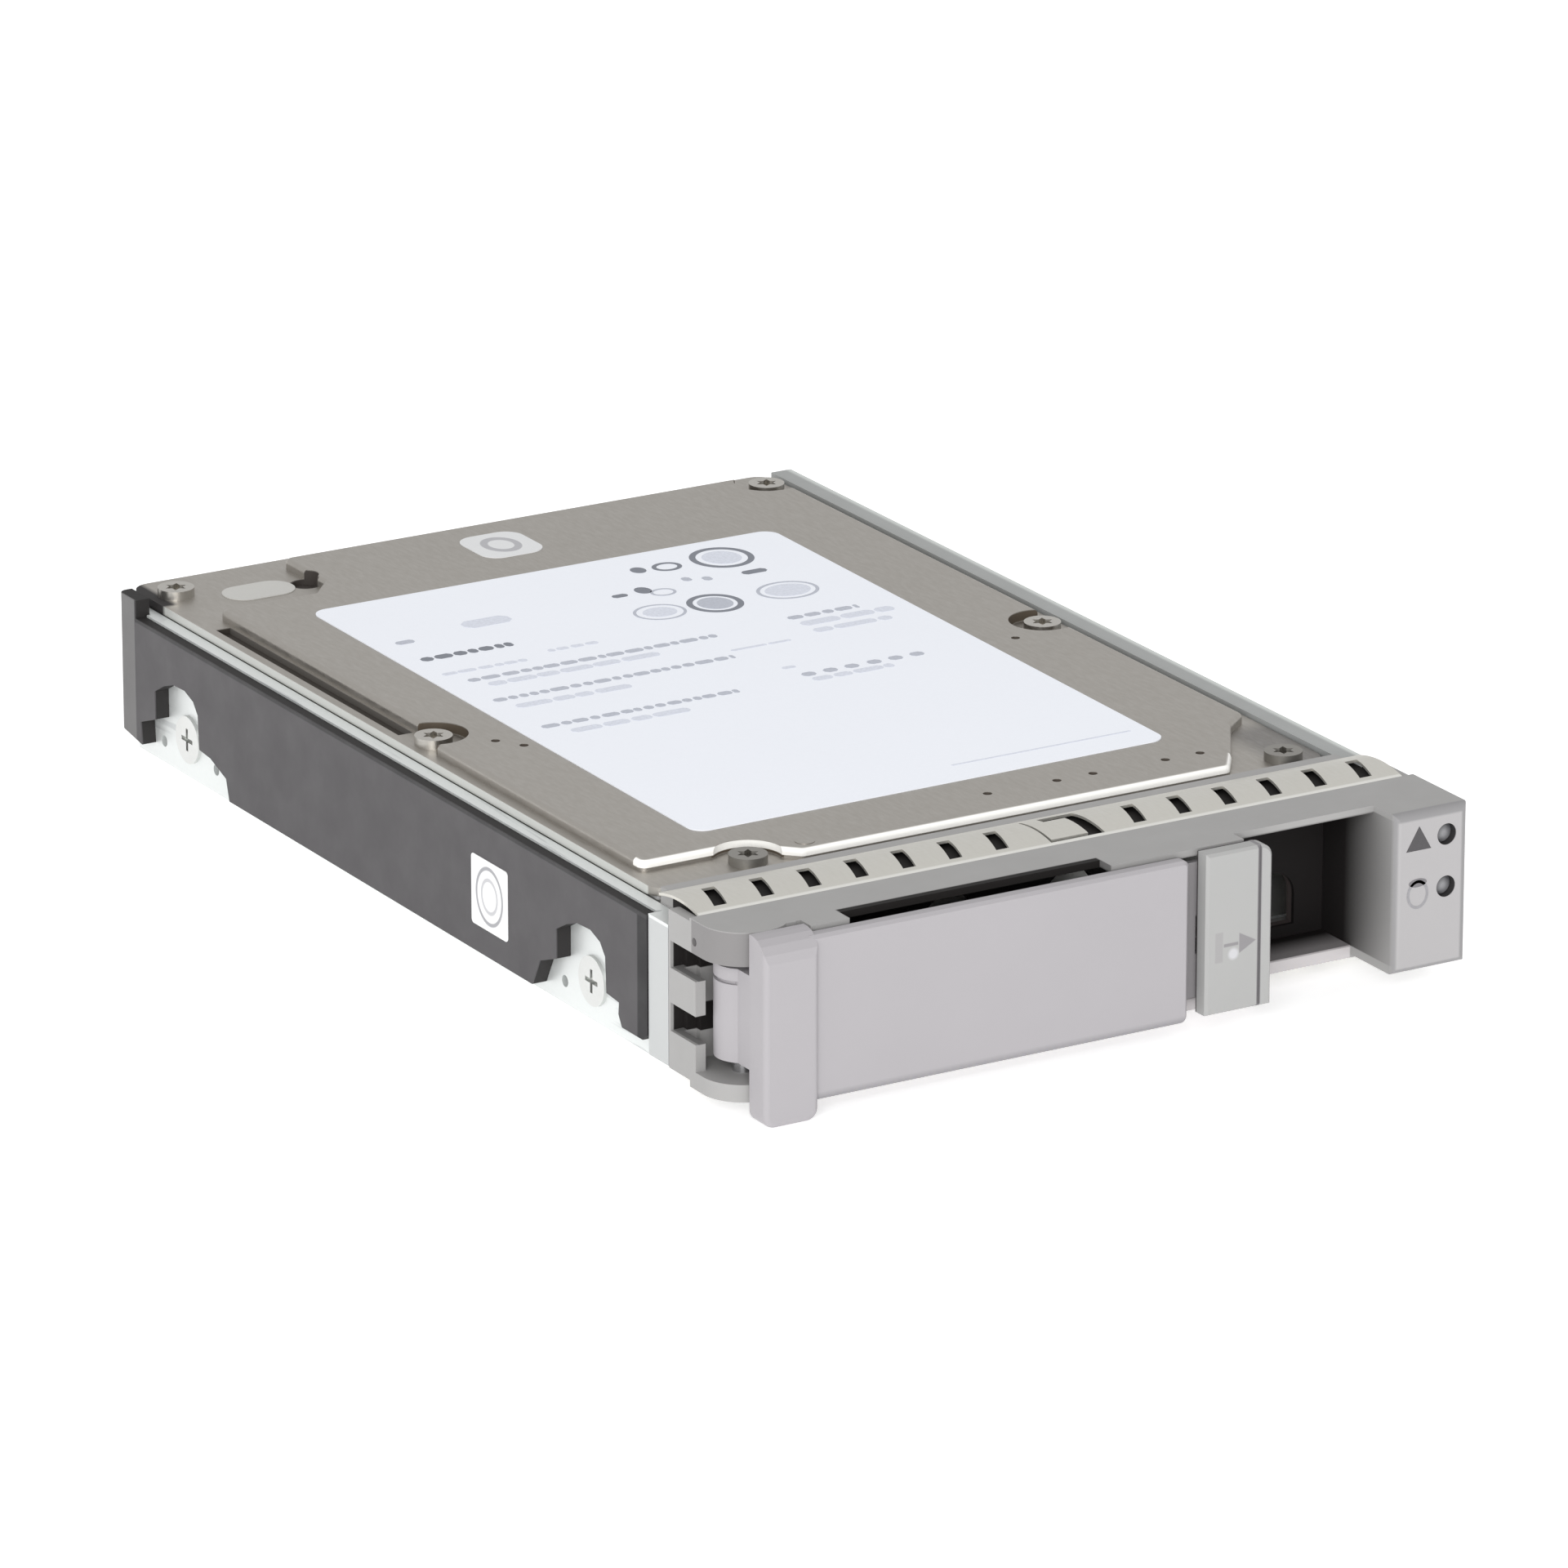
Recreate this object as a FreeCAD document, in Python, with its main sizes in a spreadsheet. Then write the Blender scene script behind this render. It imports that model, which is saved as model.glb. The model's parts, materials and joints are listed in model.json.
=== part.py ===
import FreeCAD, Part
import math
import os
import Sketcher

# A 2.5-inch server hard disk drive held in a hot-swap carrier.
#
# Everything is drawn in the drive's own frame: x across the drive from its centre line, y from the
# drive's front edge to its connector end, z up from the drive's underside. Each finished piece is then
# placed by the same shift, which puts the origin on the floor below the middle of the whole assembly.

Vector = FreeCAD.Vector
document = FreeCAD.newDocument("hot_swap_hard_drive")

# ---------------------------------------------------------------- driving dimensions

DIMENSIONS = [
    ("origin_behind_front", 41.0, "row origin, behind the drive's front edge"),
    ("origin_below_drive", 2.0, "row origin, below the drive's underside"),
    ("drive_wide", 69.85, "2.5-inch drive width"),
    ("drive_deep", 100.45, "2.5-inch drive length"),
    ("carrier_half", 37.4, "half the width over the carrier's rails"),
    ("side_hole_height", 3.0, "side mounting holes above the underside"),
    ("hole_front", 9.85, "front mounting holes behind the front edge"),
    ("hole_rear", 86.45, "rear mounting holes behind the front edge"),
    ("bottom_hole_half", 30.86, "half the spacing of the bottom mounting holes"),
    ("mount_hole_radius", 1.25, "tapping radius of the M3 mounting holes"),
    ("mount_hole_deep", 3.4, "depth of the M3 mounting holes"),
    ("base_top", 12.9, "top of the base casting"),
    ("gasket_top", 13.2, "top of the cover gasket"),
    ("deck_top", 14.0, "cover's outer flange"),
    ("cover_top", 15.0, "cover's raised field"),
    ("cover_gauge", 0.8, "cover sheet thickness"),
    ("floor_top", 4.6, "floor of the sealed space"),
    ("board_bay", 3.2, "depth of the circuit board bay"),
    ("spindle_y", 34.925, "spindle axis behind the front edge"),
    ("bowl_radius", 33.4, "shroud radius round the disks"),
    ("disk_radius", 32.5, "65 mm disk"),
    ("disk_bore", 10.0, "disk's centre hole radius"),
    ("disk_gauge", 0.8, "disk thickness"),
    ("disk_first", 7.2, "underside of the lowest disk"),
    ("disk_pitch", 2.2, "disk to disk"),
    ("pivot_x", 9.0, "actuator axis, across"),
    ("pivot_y", 77.5, "actuator axis, behind the front edge"),
    ("park_angle", 208.9, "direction of the parked arms"),
    ("tray_inside", 35.1, "inner face of the tray's walls"),
    ("tray_gauge", 0.8, "tray sheet thickness"),
    ("tray_top", 13.2, "top of the tray's walls"),
    ("tray_front", -4.5, "front end of the tray's walls"),
    ("tray_rear", 97.0, "rear end of the tray's walls"),
    ("hinge_x", -33.3, "ejector lever pin, across"),
    ("hinge_y", -11.5, "ejector lever pin, ahead of the drive"),
    ("ear_radius", 4.0, "round of the hinge ears"),
    ("barrel_radius", 2.6, "round of the lever's barrel"),
    ("pin_radius", 1.0, "hinge pin"),
    ("running", 0.05, "running clearance of a pin in its hole"),
    ("lever_front", -18.45, "front face of the lever's post and button"),
    ("panel_front", -17.9, "front face of the lever's panel"),
    ("lever_low", -0.45, "bottom of the lever's panel"),
    ("panel_high", 14.65, "top of the lever's panel"),
    ("button_low", 0.0, "bottom of the release button"),
    ("lever_high", 15.1, "top of the lever"),
    ("housing_front", -18.1, "front face of the indicator housing"),
    ("bar_front", -14.6, "front of the bezel's top and floor"),
    ("lip_front", -16.3, "front of the lips that meet the lever"),
    ("bezel_top", 15.0, "top of the bezel"),
    ("strip_front", -9.2, "front edge of the contact strips"),
    ("strip_rear", -2.2, "rear edge of the contact strips"),
    ("strip_half", 36.3, "half the length of a contact strip"),
    ("strip_pitch", 4.76, "slot to slot on a contact strip"),
    ("strip_slot", 1.3, "width of a contact strip's slots"),
    ("button_left", 9.65, "release button's left side"),
    ("button_right", 16.5, "release button's right side"),
    ("recess_right", 29.6, "indicator housing's left side"),
    ("lamp_x", 35.1, "indicator lamps, across"),
    ("lamp_high", 12.4, "upper indicator lamp"),
    ("lamp_low", 7.5, "lower indicator lamp"),
    ("lamp_radius", 0.95, "indicator lens"),
]


class Size:
    """A length that carries its value and its formula over the sheet."""

    def __init__(self, value, formula):
        self.value = float(value)
        self.formula = formula

    def __add__(self, other):
        return Size(self.value + number(other), "(%s + %s)" % (self.formula, formula(other)))

    def __radd__(self, other):
        return self + other

    def __sub__(self, other):
        return Size(self.value - number(other), "(%s - %s)" % (self.formula, formula(other)))

    def __rsub__(self, other):
        return Size(number(other) - self.value, "(%s - %s)" % (formula(other), self.formula))

    def __mul__(self, other):
        return Size(self.value * number(other), "(%s * %s)" % (self.formula, formula(other)))

    def __rmul__(self, other):
        return self * other

    def __truediv__(self, other):
        return Size(self.value / number(other), "(%s / %s)" % (self.formula, formula(other)))

    def __neg__(self):
        return Size(-self.value, "(0 - %s)" % self.formula)


def number(size):
    return size.value if isinstance(size, Size) else float(size)


def formula(size):
    return size.formula if isinstance(size, Size) else "%.6g" % size


class Dimensions:
    """The sheet's cells as attributes."""


d = Dimensions()
sheet = document.addObject("Spreadsheet::Sheet", "dims")
for row, (alias, value, meaning) in enumerate(DIMENSIONS, start=1):
    sheet.set("A%d" % row, str(value))
    sheet.setAlias("A%d" % row, alias)
    sheet.set("B%d" % row, meaning)
    setattr(d, alias, Size(value, "dims." + alias))
document.recompute()

drive_half = d.drive_wide / 2
housing_right = d.carrier_half
left_face = -d.carrier_half
TURN_TO = {
    "x": FreeCAD.Rotation(Vector(0, 1, 0), 90),
    "y": FreeCAD.Rotation(Vector(1, 0, 0), -90),
    "z": FreeCAD.Rotation(),
}

# ---------------------------------------------------------------- building blocks


def bind(thing, prop, size):
    thing.setExpression(prop, formula(size))


def put(thing, x, y, z):
    """Places a primitive's own origin."""
    bind(thing, "Placement.Base.x", x)
    bind(thing, "Placement.Base.y", y)
    bind(thing, "Placement.Base.z", z)
    return thing


def block(x, y, z):
    """A box over three spans, each a low and a high bound."""
    thing = document.addObject("Part::Box", "block")
    bind(thing, "Length", x[1] - x[0])
    bind(thing, "Width", y[1] - y[0])
    bind(thing, "Height", z[1] - z[0])
    return put(thing, x[0], y[0], z[0])


def aim(thing, axis, centre, start):
    """Turns a primitive drawn along z onto an axis. centre is the other two coordinates in x, y, z order."""
    thing.Placement.Rotation = TURN_TO[axis]
    places = {"x": (start, centre[0], centre[1]), "y": (centre[0], start, centre[1]),
              "z": (centre[0], centre[1], start)}
    return put(thing, *places[axis])


def rod(axis, centre, span, radius):
    """A round bar along an axis over a span."""
    thing = document.addObject("Part::Cylinder", "rod")
    bind(thing, "Radius", radius)
    bind(thing, "Height", span[1] - span[0])
    return aim(thing, axis, centre, span[0])


def fuse(*things):
    thing = document.addObject("Part::MultiFuse", "fuse")
    thing.Shapes = list(things)
    return thing


def group(things):
    """Separate solids held in one piece of the document."""
    thing = document.addObject("Part::Compound", "group")
    thing.Links = list(things)
    return thing


def cut(base, *tools):
    thing = document.addObject("Part::Cut", "cut")
    thing.Base = base
    thing.Tool = tools[0] if len(tools) == 1 else fuse(*tools)
    return thing


def common(first, second):
    thing = document.addObject("Part::MultiCommon", "common")
    thing.Shapes = [first, second]
    return thing


def ring(axis, centre, span, inner, outer):
    margin = 1.0
    hole = rod(axis, centre, (span[0] - margin, span[1] + margin), inner)
    return cut(rod(axis, centre, span, outer), hole)


PLANES = {"xy": "XY_Plane", "xz": "XZ_Plane", "yz": "YZ_Plane"}


def prism(plane, points, span):
    """A PartDesign body: one closed sketch through the points, padded over the span across its plane."""
    body = document.addObject("PartDesign::Body", "body")
    plane_wanted = PLANES[plane]
    support = [f for f in body.Origin.OriginFeatures if f.Role == plane_wanted][0]
    sketch = body.newObject("Sketcher::SketchObject", "outline")
    sketch.AttachmentSupport = [(support, "")]
    sketch.MapMode = "FlatFace"
    # The xz plane faces -y, so its pad starts from the high bound.
    offset = -span[1] if plane == "xz" else span[0]
    sketch.setExpression("AttachmentOffset.Base.z", formula(offset))
    corners = [Vector(number(across), number(along), 0) for across, along in points]
    count = len(corners)
    for index in range(count):
        sketch.addGeometry(Part.LineSegment(corners[index], corners[(index + 1) % count]), False)
    for index in range(count):
        sketch.addConstraint(Sketcher.Constraint("Coincident", index, 2, (index + 1) % count, 1))
    for index, point in enumerate(points):
        for kind, size in zip(("DistanceX", "DistanceY"), point):
            place = sketch.addConstraint(Sketcher.Constraint(kind, -1, 1, index, 1, number(size)))
            sketch.setExpression("Constraints[%d]" % place, formula(size))
    pad = body.newObject("PartDesign::Pad", "pad")
    pad.Profile = sketch
    bind(pad, "Length", span[1] - span[0])
    return body


def rounded(base, radius, chosen):
    """Rounds the edges that chosen(edge) picks."""
    document.recompute()
    thing = document.addObject("Part::Fillet", "rounded")
    thing.Base = base
    picked = [i for i, edge in enumerate(base.Shape.Edges, start=1) if chosen(edge)]
    thing.Edges = [(i, radius, radius) for i in picked]
    return thing


def bevelled(base, width, chosen):
    """Chamfers the edges that chosen(edge) picks."""
    document.recompute()
    thing = document.addObject("Part::Chamfer", "bevelled")
    thing.Base = base
    picked = [i for i, edge in enumerate(base.Shape.Edges, start=1) if chosen(edge)]
    thing.Edges = [(i, width, width) for i in picked]
    return thing


def runs_along(edge, axis):
    """True for a straight edge along x, y or z."""
    if not isinstance(edge.Curve, Part.Line):
        return False
    step = edge.Vertexes[-1].Point - edge.Vertexes[0].Point
    return abs(getattr(step, axis)) > 0.999 * step.Length


def middle(edge):
    return edge.CenterOfMass


def near(value, size, margin=0.02):
    return abs(value - number(size)) < margin


def coil(x, y, span, radius, wire, turns):
    """A spring along z: a wire swept along a helix."""
    helix = document.addObject("Part::Helix", "helix")
    bind(helix, "Radius", radius)
    bind(helix, "Height", span[1] - span[0])
    bind(helix, "Pitch", (span[1] - span[0]) / turns)
    helix.SegmentLength = 0.25
    put(helix, x, y, span[0])
    document.recompute()
    section = document.addObject("Part::Circle", "wire")
    bind(section, "Radius", wire)
    section.Placement.Rotation = FreeCAD.Rotation(Vector(1, 0, 0), 90)
    put(section, x + radius, y, span[0])
    sweep = document.addObject("Part::Sweep", "coil")
    sweep.Sections = [section]
    sweep.Spine = (helix, ["Edge%d" % (index + 1) for index in range(len(helix.Shape.Edges))])
    sweep.Solid = True
    sweep.Frenet = True
    return sweep


PRIMITIVES = ("Part::Box", "Part::Cylinder")
pieces = []


def piece(name, thing):
    """Names a finished sub-part and shifts it into the assembly's frame."""
    if thing.TypeId in PRIMITIVES:
        thing = group([thing])
    thing.Label = name
    bind(thing, "Placement.Base.y", -d.origin_behind_front)
    bind(thing, "Placement.Base.z", d.origin_below_drive)
    pieces.append(thing)
    return thing


def star(axis, centre, span, radius):
    """A six-pointed driver recess: two triangular bars turned against each other."""
    bars = []
    for turn in (0, 60):
        bar = document.addObject("Part::Prism", "triangle")
        bar.Polygon = 3
        bind(bar, "Circumradius", radius)
        bind(bar, "Height", span[1] - span[0])
        aim(bar, axis, centre, span[0])
        bar.Placement.Rotation = TURN_TO[axis].multiply(FreeCAD.Rotation(Vector(0, 0, 1), turn))
        bars.append(bar)
    return fuse(*bars)


def cross(centre, span, reach, width):
    """A cross-shaped driver recess along x: two slots at right angles. centre is y and z."""
    y, z = centre
    half = width / 2
    return fuse(block(span, (y - reach, y + reach), (z - half, z + half)),
                block(span, (y - half, y + half), (z - reach, z + reach)))


def sideways(side, near_centre, far):
    """A span along x on one side of the centre line."""
    return tuple(sorted((near_centre * side, far * side), key=number))


def screw(axis, centre, seat, way, head, shank):
    """A pan-head screw. seat is where the head rests, way is +1 or -1 from the seat to the head's top."""
    head_radius, head_tall = head
    shank_radius, shank_long = shank
    recess_deep = head_tall * 0.6
    top = seat + head_tall * way
    head_span = (seat, top) if way > 0 else (top, seat)
    shank_span = (seat - shank_long, seat) if way > 0 else (seat, seat + shank_long)
    recess_span = (top - recess_deep, top + 0.5) if way > 0 else (top - 0.5, top + recess_deep)
    solid = fuse(rod(axis, centre, head_span, head_radius), rod(axis, centre, shank_span, shank_radius))
    return cut(solid, star(axis, centre, recess_span, head_radius * 0.62))


# ---------------------------------------------------------------- the sealed drive

COVER_SCREWS = [(-32.3, 95.8), (32.3, 95.8), (-32.4, 45.3), (32.4, 45.3), (-24.3, 3.0), (31.3, 2.6)]
COVER_SHANK = 0.7
SCREW_RECESS = 3.2
MOTOR_FLANGE = 3.4
spindle = (0, d.spindle_y)
BOARD_SCREWS = [(-23.5, 12.0), (23.5, 12.0), (-23.5, 84.0), (23.5, 84.0)]
BOARD_SHANK = 0.7
ACTUATOR_BAY = [(-30.5, 56.0), (31.0, 56.0), (31.0, 89.5), (27.5, 93.4), (-27.5, 93.4), (-30.5, 89.5)]
above = 2.0


def sealed_space(bottom, top):
    """The disk bowl joined to the bay that the actuator swings in."""
    bowl = rod("z", (0, d.spindle_y), (bottom, top), d.bowl_radius)
    return fuse(bowl, prism("xy", ACTUATOR_BAY, (bottom, top)))


def screw_holes(places, span, radius):
    return [rod("z", place, span, radius) for place in places]


def mounting_holes():
    holes = []
    for y in (d.hole_front, d.hole_rear):
        side_left = (-drive_half - above, -drive_half + d.mount_hole_deep)
        side_right = (drive_half - d.mount_hole_deep, drive_half + above)
        holes.append(rod("x", (y, d.side_hole_height), side_left, d.mount_hole_radius))
        holes.append(rod("x", (y, d.side_hole_height), side_right, d.mount_hole_radius))
        for x in (-d.bottom_hole_half, d.bottom_hole_half):
            holes.append(rod("z", (x, y), (-above, d.mount_hole_deep + 1), d.mount_hole_radius))
    return holes


def board_bay():
    """The recess under the casting that holds the circuit board, with a post for each board screw."""
    narrow = block((-27.6, 27.6), (4.0, 96.0), (-above, d.board_bay))
    wide = block((-32.4, 32.4), (16.0, 80.0), (-above, d.board_bay))
    posts = [rod("z", place, (1.4, d.board_bay), 1.8) for place in BOARD_SCREWS]
    return cut(fuse(narrow, wide), *posts)


def drive_base():
    casting = block((-drive_half, drive_half), (0.6, d.drive_deep), (0, d.base_top))
    casting = rounded(casting, 2.0, lambda edge: runs_along(edge, "z"))
    connector_gap = block((-21.4, 21.4), (90.0, d.drive_deep + above), (-above, 4.35))
    holes = screw_holes(COVER_SCREWS, (7.0, d.base_top + above), COVER_SHANK)
    holes += screw_holes(BOARD_SCREWS, (-above, d.board_bay + 1.0), BOARD_SHANK)
    motor_hole = rod("z", spindle, (d.board_bay - 1, d.floor_top + 1), MOTOR_FLANGE)
    tools = [sealed_space(d.floor_top, d.base_top + above), board_bay(), connector_gap, motor_hole]
    return piece("drive_base", cut(casting, *tools, *holes, *mounting_holes()))


def cover_gasket():
    sheet_of_foam = block((-drive_half + 0.5, drive_half - 0.5), (1.2, d.drive_deep - 0.5),
                          (d.base_top, d.gasket_top))
    holes = screw_holes(COVER_SCREWS, (d.base_top - above, d.gasket_top + above), COVER_SHANK)
    space = sealed_space(d.base_top - above, d.gasket_top + above)
    return piece("cover_gasket", cut(sheet_of_foam, space, *holes))


# The raised field of the cover: notched at the front left, cut across at the front right and rear right,
# narrow beside the seam on the left, and stepped down at the rear left corner.
RAISED_FIELD = [(-19.8, 1.1), (24.6, 1.1), (26.4, 3.6), (31.0, 10.8), (33.7, 13.0), (33.7, 92.8),
                (30.1, 98.2), (-19.6, 98.2), (-19.6, 90.0), (-22.0, 87.2), (-32.2, 87.2), (-32.2, 46.4),
                (-33.7, 44.6), (-33.7, 5.4), (-24.0, 5.4)]
FRONT_DIMPLES = [(1.9, 5.6), (9.1, 5.5), (12.9, 5.5), (20.5, 5.4), (24.2, 5.4)]
SIDE_DIMPLES = [(-27.0, 38.2), (27.4, 42.0), (-28.6, 40.6)]


def top_cover():
    flange = block((-drive_half, drive_half), (0.6, d.drive_deep), (d.gasket_top, d.deck_top))
    flange = rounded(flange, 2.0, lambda edge: runs_along(edge, "z"))
    field = prism("xy", RAISED_FIELD, (d.deck_top - 0.2, d.cover_top))
    field = rounded(field, 0.8, lambda edge: runs_along(edge, "z"))
    field = rounded(field, 0.45, lambda edge: near(middle(edge).z, d.cover_top))
    recesses = [rod("z", place, (d.deck_top, d.cover_top + above), SCREW_RECESS) for place in COVER_SCREWS]
    field = cut(field, *recesses)
    # The field is pressed up from below. Its underside stops short of its walls and of the screw recesses.
    pressed = [(x * 0.96, 50 + (y - 50) * 0.975) for x, y in RAISED_FIELD]
    pressed = prism("xy", pressed, (d.gasket_top - above, d.cover_top - d.cover_gauge))
    walls = screw_holes(COVER_SCREWS, (d.gasket_top - above * 2, d.cover_top), SCREW_RECESS + d.cover_gauge)
    sealed = sealed_space(d.gasket_top - above, d.cover_top - d.cover_gauge)
    underside = cut(common(sealed, pressed), *walls)
    holes = screw_holes(COVER_SCREWS, (d.gasket_top - above, d.cover_top), COVER_SHANK)
    dimples = screw_holes(FRONT_DIMPLES + SIDE_DIMPLES, (d.cover_top - 0.3, d.cover_top + 1), 0.42)
    seam = block((-34.0, -32.5), (49.0, 84.5), (d.deck_top - 0.6, d.cover_top))
    pocket = rod("z", (-20.2, 92.6), (d.deck_top - 0.5, d.cover_top + above), 1.3)
    bump = rod("z", (-18.6, 2.9), (d.cover_top - 0.4, d.cover_top + 0.05), 0.9)
    return piece("top_cover", fuse(cut(fuse(flange, field), underside, *holes, *dimples, seam, pocket), bump))


def cover_screws():
    head = (1.75, 0.85)
    shank = (COVER_SHANK, 5.6)
    screws = [screw("z", place, d.deck_top, 1, head, shank) for place in COVER_SCREWS]
    return piece("cover_screws", group(screws))


def sheet_patch(name, x, y, z, corner):
    """A thin rectangle with rounded corners, lying flat."""
    return piece(name, rounded(block(x, y, z), corner, lambda edge: runs_along(edge, "z")))


# The drive's label is stuck on slightly askew.
LABEL_CORNERS = [(-25.8, 9.5), (23.7, 10.0), (24.6, 81.9), (-25.4, 82.0)]


def cover_labels():
    label = prism("xy", LABEL_CORNERS, (d.cover_top, d.cover_top + 0.1))
    piece("drive_label", rounded(label, 1.6, lambda edge: runs_along(edge, "z")))
    sheet_patch("cover_sticker", (-3.2, 3.4), (87.4, 94.6), (d.cover_top, d.cover_top + 0.08), 1.9)
    sheet_patch("corner_seal", (-28.6, -21.4), (90.8, 95.2), (d.deck_top, d.deck_top + 0.08), 2.1)


# ---------------------------------------------------------------- spindle motor and disks

DISKS = ("lower", "middle", "upper")
clamp_bottom = d.disk_first + d.disk_pitch * 2 + d.disk_gauge
SHAFT_RADIUS = 2.0
MAGNET_RING = (9.15, 9.95)


def around(centre, radius, count, start=0.0):
    """Points spaced evenly on a circle."""
    for index in range(count):
        angle = math.radians(start + 360.0 * index / count)
        yield (centre[0] + radius * math.cos(angle), centre[1] + radius * math.sin(angle))


def spindle_motor():
    shaft = fuse(rod("z", spindle, (d.board_bay, 14.1), SHAFT_RADIUS),
                 rod("z", spindle, (d.board_bay, d.floor_top), MOTOR_FLANGE))
    piece("spindle_shaft", shaft)
    core = ring("z", spindle, (5.2, 6.0), 4.6, 5.6)
    teeth = [rod("z", place, (5.2, 6.0), 1.05) for place in around(spindle, 7.0, 9)]
    piece("stator_core", fuse(core, *teeth, *stator_spokes()))
    coils = [ring("z", place, (4.9, 6.3), 1.1, 1.45) for place in around(spindle, 7.0, 9)]
    piece("stator_coils", group(coils))
    piece("rotor_magnet", ring("z", spindle, (4.95, 6.6), *MAGNET_RING))


def stator_spokes():
    """The nine webs that join the core to its teeth, turned about the spindle."""
    webs = []
    for index in range(9):
        web = document.addObject("Part::Box", "web")
        bind(web, "Length", 2.4)
        bind(web, "Width", 0.7)
        bind(web, "Height", 0.8)
        turn = FreeCAD.Rotation(Vector(0, 0, 1), 40.0 * index)
        corner = turn.multVec(Vector(5.0, -0.35, 0))
        web.Placement.Rotation = turn
        put(web, corner.x, d.spindle_y + corner.y, 5.2)
        webs.append(web)
    return webs


def spindle_hub():
    sleeve = rod("z", spindle, (4.9, clamp_bottom), 4.2)
    drum = rod("z", spindle, (6.6, clamp_bottom), d.disk_bore - 0.02)
    seat = rod("z", spindle, (6.6, d.disk_first), 12.0)
    skirt = ring("z", spindle, (4.95, 6.7), MAGNET_RING[1], 10.9)
    bore = rod("z", spindle, (3.0, 15.0), SHAFT_RADIUS + 0.05)
    tapped = screw_holes(around(spindle, 7.0, 6), (clamp_bottom - 2.5, clamp_bottom + 1), 0.45)
    return piece("spindle_hub", cut(fuse(sleeve, drum, seat, skirt), bore, *tapped))


def disk_stack():
    for level, name in enumerate(DISKS):
        low = d.disk_first + d.disk_pitch * level
        disk = ring("z", spindle, (low, low + d.disk_gauge), d.disk_bore, d.disk_radius)
        piece("platter_" + name, disk)
    spacers = []
    for level in range(len(DISKS) - 1):
        low = d.disk_first + d.disk_pitch * level + d.disk_gauge
        spacers.append(ring("z", spindle, (low, low + d.disk_pitch - d.disk_gauge), d.disk_bore, 11.8))
    piece("spacer_rings", group(spacers))
    clamp = ring("z", spindle, (clamp_bottom, clamp_bottom + 0.6), 3.2, 11.6)
    holes = screw_holes(around(spindle, 7.0, 6), (clamp_bottom - 1, clamp_bottom + 2), 0.45)
    piece("disk_clamp", cut(clamp, *holes))
    screws = [screw("z", place, clamp_bottom + 0.6, 1, (0.9, 0.45), (0.45, 2.4))
              for place in around(spindle, 7.0, 6)]
    piece("clamp_screws", group(screws))


# ---------------------------------------------------------------- head actuator

pivot = (d.pivot_x, d.pivot_y)
COIL_SPAN = (8.9, 10.5)
COIL_ANGLE = d.park_angle.value - 180
SWING = 31.0
ARM_GAUGE = 0.45
FLEXURE_GAUGE = 0.1
SLIDER_GAUGE = 0.2
# Underside of each of the four arms, from the one below the lowest disk upwards.
arm_levels = [d.disk_first + d.disk_pitch * level - (d.disk_pitch - d.disk_gauge) / 2 - ARM_GAUGE / 2
              for level in range(4)]


def arm_shape(outline, span, angle):
    """A flat prism drawn along +x from the pivot, turned to an angle about it."""
    body = prism("xy", outline, span)
    body.Placement = FreeCAD.Placement(Vector(number(pivot[0]), number(pivot[1]), 0),
                                       FreeCAD.Rotation(Vector(0, 0, 1), angle))
    return body


def actuator_arms():
    outline = [(0, -5.0), (27.0, -1.8), (27.0, 1.8), (0, 5.0)]
    arms = [arm_shape(outline, (low, low + ARM_GAUGE), d.park_angle.value) for low in arm_levels]
    barrel = rod("z", pivot, (5.3, 13.6), 5.6)
    tail = [(0, -4.6), (9.0, -6.4), (9.0, 6.4), (0, 4.6)]
    coil_mount = arm_shape(tail, COIL_SPAN, COIL_ANGLE)
    bore = rod("z", pivot, (4.0, 15.0), 3.05)
    return piece("actuator_arms", cut(fuse(barrel, coil_mount, *arms), bore))


def voice_coil():
    outside = [(9.0, -6.4), (14.0, -6.6), (14.0, 6.6), (9.0, 6.4)]
    inside = [(10.5, -3.6), (12.5, -3.8), (12.5, 3.8), (10.5, 3.6)]
    winding = cut(arm_shape(outside, COIL_SPAN, COIL_ANGLE), arm_shape(inside, (8, 12), COIL_ANGLE))
    return piece("voice_coil", winding)


def pivot_bearing():
    piece("pivot_shaft", rod("z", pivot, (d.floor_top, 14.1), 1.5))
    races = [ring("z", pivot, span, 1.55, 3.05) for span in ((5.6, 7.6), (11.2, 13.2))]
    piece("pivot_bearing", fuse(*races, ring("z", pivot, (7.6, 11.2), 2.3, 3.05)))


def head_stack():
    """Two flexures leave each gap between disks, and one leaves each outer face of the stack."""
    flexures = []
    sliders = []
    blade = [(23.0, -1.5), (36.0, -0.5), (38.2, -0.4), (38.2, 0.4), (36.0, 0.5), (23.0, 1.5)]
    slider = [(36.4, -0.4), (37.6, -0.4), (37.6, 0.4), (36.4, 0.4)]
    for level, low in enumerate(arm_levels):
        if level < 3:
            top = low + ARM_GAUGE
            flexures.append(arm_shape(blade, (top, top + FLEXURE_GAUGE), d.park_angle.value))
            face = top + FLEXURE_GAUGE
            sliders.append(arm_shape(slider, (face, face + SLIDER_GAUGE), d.park_angle.value))
        if level > 0:
            flexures.append(arm_shape(blade, (low - FLEXURE_GAUGE, low), d.park_angle.value))
            face = low - FLEXURE_GAUGE
            sliders.append(arm_shape(slider, (face - SLIDER_GAUGE, face), d.park_angle.value))
    piece("head_suspensions", group(flexures))
    piece("head_sliders", group(sliders))


def about_pivot(radius, angle):
    """A point at a radius and direction from the actuator's axis."""
    turn = math.radians(angle)
    return (d.pivot_x + radius * math.cos(turn), d.pivot_y + radius * math.sin(turn))


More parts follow.
